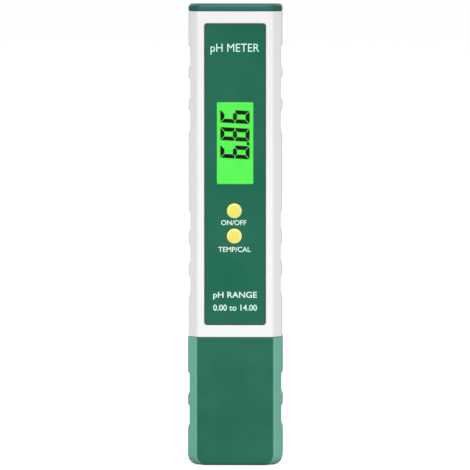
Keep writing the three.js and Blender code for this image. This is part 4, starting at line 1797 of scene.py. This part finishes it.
@dataclass
class Electrode(SubAssembly):
    """The neck under the case, the slotted sleeve, and the glass electrode with its probes."""

    section: PenSection = CASE_HOLLOW
    inset: float = 1.95
    wall: float = 0.9
    floor: float = 38.0
    bore: float = 5.3
    groove_half: float = 0.65
    groove_depth: float = 0.95
    seal_proud: float = 0.1
    lead_in: float = 0.35
    sleeve_inner: float = 4.3
    sleeve_outer: float = 5.2
    slot: Flat = (1.3, 17.0)
    flange_bottom: float = 38.05
    flange_corner: float = 1.5
    hollow_from: float = 30.0
    stem: float = 2.1
    stem_wall: float = 0.4
    bulb_radius: float = 2.6
    bulb_z: float = 12.4

    def holder(self) -> bpy.types.Mesh:
        """The neck: a lead-in at its foot, the seal groove, and the tray that holds the sleeve.

        Returns:
            The mesh, in metres.
        """
        place = Place.of("electrode_holder")
        groove = Place.of("cap_seal").middle.z
        bottom, top = place.low.z, place.high.z
        deep = self.inset + self.groove_depth
        lead = quarter_round(self.lead_in, 4)
        levels = [(self.inset + i, bottom + rise) for i, rise in lead]
        levels += [(self.inset, groove - self.groove_half), (deep, groove - self.groove_half)]
        levels += [(deep, groove + self.groove_half), (self.inset, groove + self.groove_half)]
        inner = self.inset + self.wall
        levels += [(self.inset, top - 0.15), (self.inset + 0.15, top), (inner - 0.1, top), (inner, top - 0.1)]
        levels += [(inner, self.floor)]
        body = lofted("neck", [self.section.ring(i, z) for i, z in levels])
        r = self.bore
        profile = [(0, -5), (r + 3.3, -5), (r + 0.3, bottom), (r, bottom + 0.3), (r, top), (0, top)]
        return worked(body, [turned("bore", profile, Axis.Z, (0, 0, 0), 72)], Join.CUT)

    def sleeve(self) -> bpy.types.Mesh:
        """The sleeve: a tube with four slots, round at their tops, and the flange that holds it.

        Returns:
            The mesh, in metres.
        """
        place = Place.of("probe_sleeve")
        bottom, top = place.low.z, place.high.z
        inner, outer = self.sleeve_inner, self.sleeve_outer
        foot = 0.25
        profile = [(inner, bottom + foot), (inner + foot, bottom)]
        profile += [(outer - foot, bottom), (outer, bottom + foot)]
        profile += [(outer, top - 0.1), (outer - 0.1, top), (inner, top)]
        tube = turned("sleeve", profile, Axis.Z, (0, 0, 0), 96)
        corner = self.flange_corner
        outline = filleted([(sx * place.high.x, sy * place.high.y, corner) for sx, sy in CORNER_SIGNS], 8)
        levels = (self.flange_bottom, top)
        flange = lofted("flange", [[Vector((x, y, z)) for x, y in outline] for z in levels])
        low, high = self.hollow_from, top + 2
        hollow = turned("hollow", [(0, low), (inner, low), (inner, high), (0, high)], Axis.Z, (0, 0, 0), 96)
        body = worked(tube, [worked(flange, [hollow], Join.CUT)], Join.ADD)
        half, high = self.slot
        low = bottom - 4
        pane = Pane(0, (low + high) / 2, half, (high - low) / 2, half, 12)
        reach = outer + 3
        slots = []
        for turn in (0, math.pi / 2):
            cutter = lofted("slot", [pane.ring(0.0, y) for y in (-reach, reach)])
            cutter.transform(Matrix.Rotation(turn, 4, "Z"))
            slots.append(cutter)
        return worked(body, slots, Join.CUT)

    def bulb(self) -> bpy.types.Mesh:
        """The glass electrode: a tube drawn out of a thin round bulb.

        Returns:
            The mesh, in metres.
        """
        place = Place.of("glass_electrode")
        wire = Place.of("inner_electrode_wire").middle
        radius, wall, bulb, z = self.stem, self.stem_wall, self.bulb_radius, self.bulb_z
        steps = 20

        def arc(r: float, neck: float) -> list[Flat]:
            """The bulb's round from its foot to where the stem leaves it.

            Args:
                r: the round's radius.
                neck: the stem's radius.

            Returns:
                Radius and height of each point.
            """
            end = math.pi - math.asin(neck / r)
            angles = [end * k / steps for k in range(steps + 1)]
            return [(r * math.sin(a), z - r * math.cos(a)) for a in angles]

        top = place.high.z
        profile = arc(bulb, radius) + [(radius, top - 0.15), (radius - 0.12, top), (radius - wall, top)]
        profile += reversed(arc(bulb - wall, radius - wall))
        return turned("electrode_bulb", profile, Axis.Z, (wire.x, wire.y, 0), 64)

    def probe(self) -> bpy.types.Mesh:
        """The steel tube of the temperature probe, closed by a round tip and rolled over its lead.

        Returns:
            The mesh, in metres.
        """
        place = Place.of("temperature_probe")
        middle = place.middle
        r = (place.high.x - place.low.x) / 2
        bottom, top = place.low.z, place.high.z
        angles = [math.pi / 2 * k / 8 for k in range(9)]
        profile = [(r * math.sin(a), bottom + r * (1 - math.cos(a))) for a in angles]
        profile += [(r, top - 1.6), (r - 0.18, top - 1.3), (r - 0.18, top - 0.9), (r, top - 0.6)]
        profile += [(r, top - 0.15), (r - 0.15, top), (0, top)]
        return turned("temperature_tube", profile, Axis.Z, (middle.x, middle.y, 0), 48)

    def build(self) -> None:
        """Builds the neck, the seal, the sleeve and the probes."""
        placed(self.holder(), WHITE, "housing", ["electrode_holder"])
        ring = seal("neck_seal", "cap_seal", self.section, self.inset - self.seal_proud)
        placed(ring, RUBBER, "housing", ["cap_seal"], 60)
        placed(self.sleeve(), BLACK, "housing", ["probe_sleeve"])
        placed(self.bulb(), GLASS, "housing", ["glass_electrode"])
        placed(self.probe(), STEEL, "housing", ["temperature_probe"])
        dressed("reference_junction", CERAMIC)
        dressed("inner_electrode_wire", SILVER)
        dressed("reference_electrode_wire", SILVER)


# ---------------------------------------------------------------- protective cap


@dataclass
class ProtectiveCap(SubAssembly):
    """The deep green cap with its rounded foot and notched sides, and the wet sponge in it."""

    section: PenSection = PenSection(15.8, 8.75, 2.75, 1.6)
    wall: float = 1.9
    floor: float = 1.7
    foot_round: Flat = (3.4, 0.8)
    rim_round: float = 0.18
    notches: GripNotches = GripNotches(stepped(31.0, 2, 7.8))
    sponge_corner: float = 2.0
    pit: float = 0.16

    def foot_level(self, height: float) -> PenSection:
        """The section at a height above the foot, rounder across the pen than front to back.

        Args:
            height: the height.

        Returns:
            The section there.
        """

        def drawn_in(radius: float) -> float:
            """How far a round of this radius draws in at the height."""
            left = max(radius - height, 0.0)
            return radius - math.sqrt(radius * radius - left * left)

        across, deep = self.foot_round
        s = self.section
        return PenSection(s.half_width - drawn_in(across), s.half_depth - drawn_in(deep), s.chamfer, s.corner)

    def cap(self) -> bpy.types.Mesh:
        """The cap: outside from the foot up, over the rim and down the pocket to its floor.

        Returns:
            The mesh, in metres.
        """
        place = Place.of("protective_cap")
        top = place.high.z
        across, deep = self.foot_round
        steps = 10
        turns = [1 - math.cos(math.pi / 2 * k / steps) for k in range(steps + 1)]
        rises = {radius * turn for radius in (across, deep) for turn in turns}
        rings = [self.foot_level(rise).ring(0.0, rise) for rise in sorted(rises)]
        for z in self.notches.levels(across + 0.5, top - 2 * self.rim_round):
            limit = self.section.half_width - self.notches.depth(z)
            rings.append([Vector((max(-limit, min(limit, x)), y, z)) for x, y in self.section.around()])
        inner = self.wall
        levels = [(inset, top - rise) for inset, rise in reversed(quarter_round(self.rim_round, 4))]
        levels += [(inner - inset, top - rise) for inset, rise in quarter_round(self.rim_round, 4)]
        levels += [(inner, self.floor + 1.0), (inner + 0.3, self.floor + 0.3), (inner + 1.0, self.floor)]
        rings += [self.section.ring(inset, z) for inset, z in levels]
        return lofted("storage_cap", rings)

    def sponge(self) -> bpy.types.Mesh:
        """The sponge: crowned on top, drawn in at its edges, with pits over its surface.

        Returns:
            The mesh, in metres.
        """
        place = Place.of("storage_sponge")
        low, high = place.low, place.high
        height = high.z - low.z
        corners = [(sx * high.x, sy * high.y, self.sponge_corner) for sx, sy in CORNER_SIGNS]
        outline = [Vector(p) for p in filleted(corners, 8)]
        dense: list[Vector] = []
        for a, b in zip(outline, outline[1:] + outline[:1]):
            parts = max(1, round((b - a).length / 0.45))
            dense += [a.lerp(b, k / parts) for k in range(parts)]
        rings = []
        shares = [0.02, 0.2, 0.4, 0.6, 0.75, 0.88, 0.96, 1.0]
        for share in shares[:-1]:
            rings.append([Vector((p.x * share, p.y * share, low.z)) for p in dense])
        for k in range(9):
            rise = k / 8
            squeeze = 1 - 0.03 * (2 * rise - 1) ** 2
            rings.append([Vector((p.x * squeeze, p.y * squeeze, low.z + height * 0.9 * rise)) for p in dense])
        for share in reversed(shares[:-1]):
            crown = low.z + height * (1 - 0.1 * share**3)
            rings.append([Vector((p.x * share, p.y * share, crown)) for p in dense])
        for ring in rings:
            for p in ring:
                pit = max(0.0, noise.noise(p * 1.4) + 0.6 * noise.noise(p * 3.1)) * self.pit
                towards = Vector((0, 0, (low.z + high.z) / 2)) - p
                p += towards.normalized() * pit
                p.z = max(p.z, low.z)
        return lofted("cap_sponge", rings)

    def build(self) -> None:
        """Builds the cap and its sponge."""
        placed(self.cap(), CAP_GREEN, "cap", ["protective_cap"])
        pad = placed(self.sponge(), SPONGE_YELLOW, "cap", ["storage_sponge"], 180)


# ---------------------------------------------------------------- studio


@dataclass
class Studio:
    """The pale floor, the soft lights and the camera."""

    floor_radius: float = 8.0
    floor_tone: float = 0.36
    floor_glow: float = 0.82
    ambient: float = 0.45
    backdrop: float = 1.03
    azimuth: float = 1.2
    elevation: float = 3.5
    distance: float = 2.0
    lens: float = 458.0
    aim: tuple[float, float, float] = (-0.0002, 0.0, 0.0765)

    def floor(self) -> None:
        """A round pale floor that reads as pure white except where the meter shades it."""
        bm = bmesh.new()
        bmesh.ops.create_circle(bm, cap_ends=True, segments=96, radius=self.floor_radius)
        mesh = bpy.data.meshes.new("floor")
        bm.to_mesh(mesh)
        bm.free()
        ground = linked("floor", mesh)
        ground.location.z = -0.1 * MM
        paint = bpy.data.materials.new("floor_white")
        paint.use_nodes = True
        w = Wiring(paint.node_tree)
        seen = w.node("ShaderNodeLightPath").outputs["Is Camera Ray"]
        shader = w.node(
            "ShaderNodeBsdfPrincipled",
            {
                "Base Color": (*[self.floor_tone] * 3, 1),
                "Roughness": 0.9,
                "Specular IOR Level": 0.0,
                "Emission Color": (1, 1, 1, 1),
                "Emission Strength": w.math("MULTIPLY", seen, self.floor_glow),
            },
        )
        w.node("ShaderNodeOutputMaterial", {"Surface": shader.outputs[0]})
        mesh.materials.append(paint)

    def surroundings(self) -> None:
        """Even light from all round, and pure white behind the meter."""
        world = bpy.data.worlds.new("studio")
        world.use_nodes = True
        bpy.context.scene.world = world
        w = Wiring(world.node_tree)
        seen = w.node("ShaderNodeLightPath").outputs["Is Camera Ray"]
        strength = w.math("MULTIPLY_ADD", seen, self.backdrop - self.ambient, self.ambient)
        light = w.node("ShaderNodeBackground", {"Color": (1, 1, 1, 1), "Strength": strength})
        w.node("ShaderNodeOutputWorld", {"Surface": light.outputs[0]})

    def softbox(
        self, name: str, place: Sequence[float], size: Flat, power: float, glossy: bool = True
    ) -> None:
        """A rectangular soft light aimed at the middle of the meter.

        Args:
            name: name of the light.
            place: where it stands, in metres.
            size: its width and height, in metres.
            power: its power, in watts.
            glossy: False keeps it out of the reflections.
        """
        data = bpy.data.lights.new(name, "AREA")
        data.shape = "RECTANGLE"
        data.size, data.size_y = size
        data.energy = power
        lamp = linked(name, data)
        lamp.location = place
        towards = Vector(self.aim) - Vector(place)
        lamp.rotation_euler = towards.to_track_quat("-Z", "Y").to_euler()
        lamp.visible_camera = False
        lamp.visible_glossy = glossy

    def camera(self) -> None:
        """The camera, level with the meter and a little above it."""
        data = bpy.data.cameras.new("camera")
        data.lens = self.lens
        data.sensor_width = 36.0
        data.clip_end = 100.0
        viewer = linked("camera", data)
        turn, rise = math.radians(self.azimuth), math.radians(self.elevation)
        away = Vector((math.sin(turn) * math.cos(rise), -math.cos(turn) * math.cos(rise), math.sin(rise)))
        viewer.location = Vector(self.aim) + away * self.distance
        viewer.rotation_euler = (-away).to_track_quat("-Z", "Y").to_euler()
        bpy.context.scene.camera = viewer

    def build(self) -> None:
        """Sets up the floor, the lights and the camera."""
        bpy.context.scene.view_settings.view_transform = "Standard"
        self.floor()
        self.surroundings()
        self.softbox("key", (0.15, -3.0, 3.4), (2.0, 2.0), 103.0)
        self.softbox("low", (0.0, -0.25, 0.02), (0.2, 0.05), 0.18, glossy=False)
        for side in (-1, 1):
            self.softbox("fill", (1.6 * side, -1.9, 0.12), (0.8, 0.8), 4.5)
            self.softbox("back", (1.9 * side, 2.6, 1.6), (1.4, 1.4), 42.0)
        self.camera()


# ---------------------------------------------------------------- the whole meter


def main() -> None:
    """Builds the meter and the studio round it."""
    logging.basicConfig(level=logging.INFO, format="%(name)s: %(message)s")
    for assembly in (
        CaseShells(),
        Faceplate(),
        Display(),
        Keypad(),
        CircuitBoard(),
        BatteryDrawer(),
        Electrode(),
        ProtectiveCap(),
    ):
        LOG.info("building %s", type(assembly).__name__)
        assembly.build()
    Studio().build()


if __name__ == "__main__":
    main()
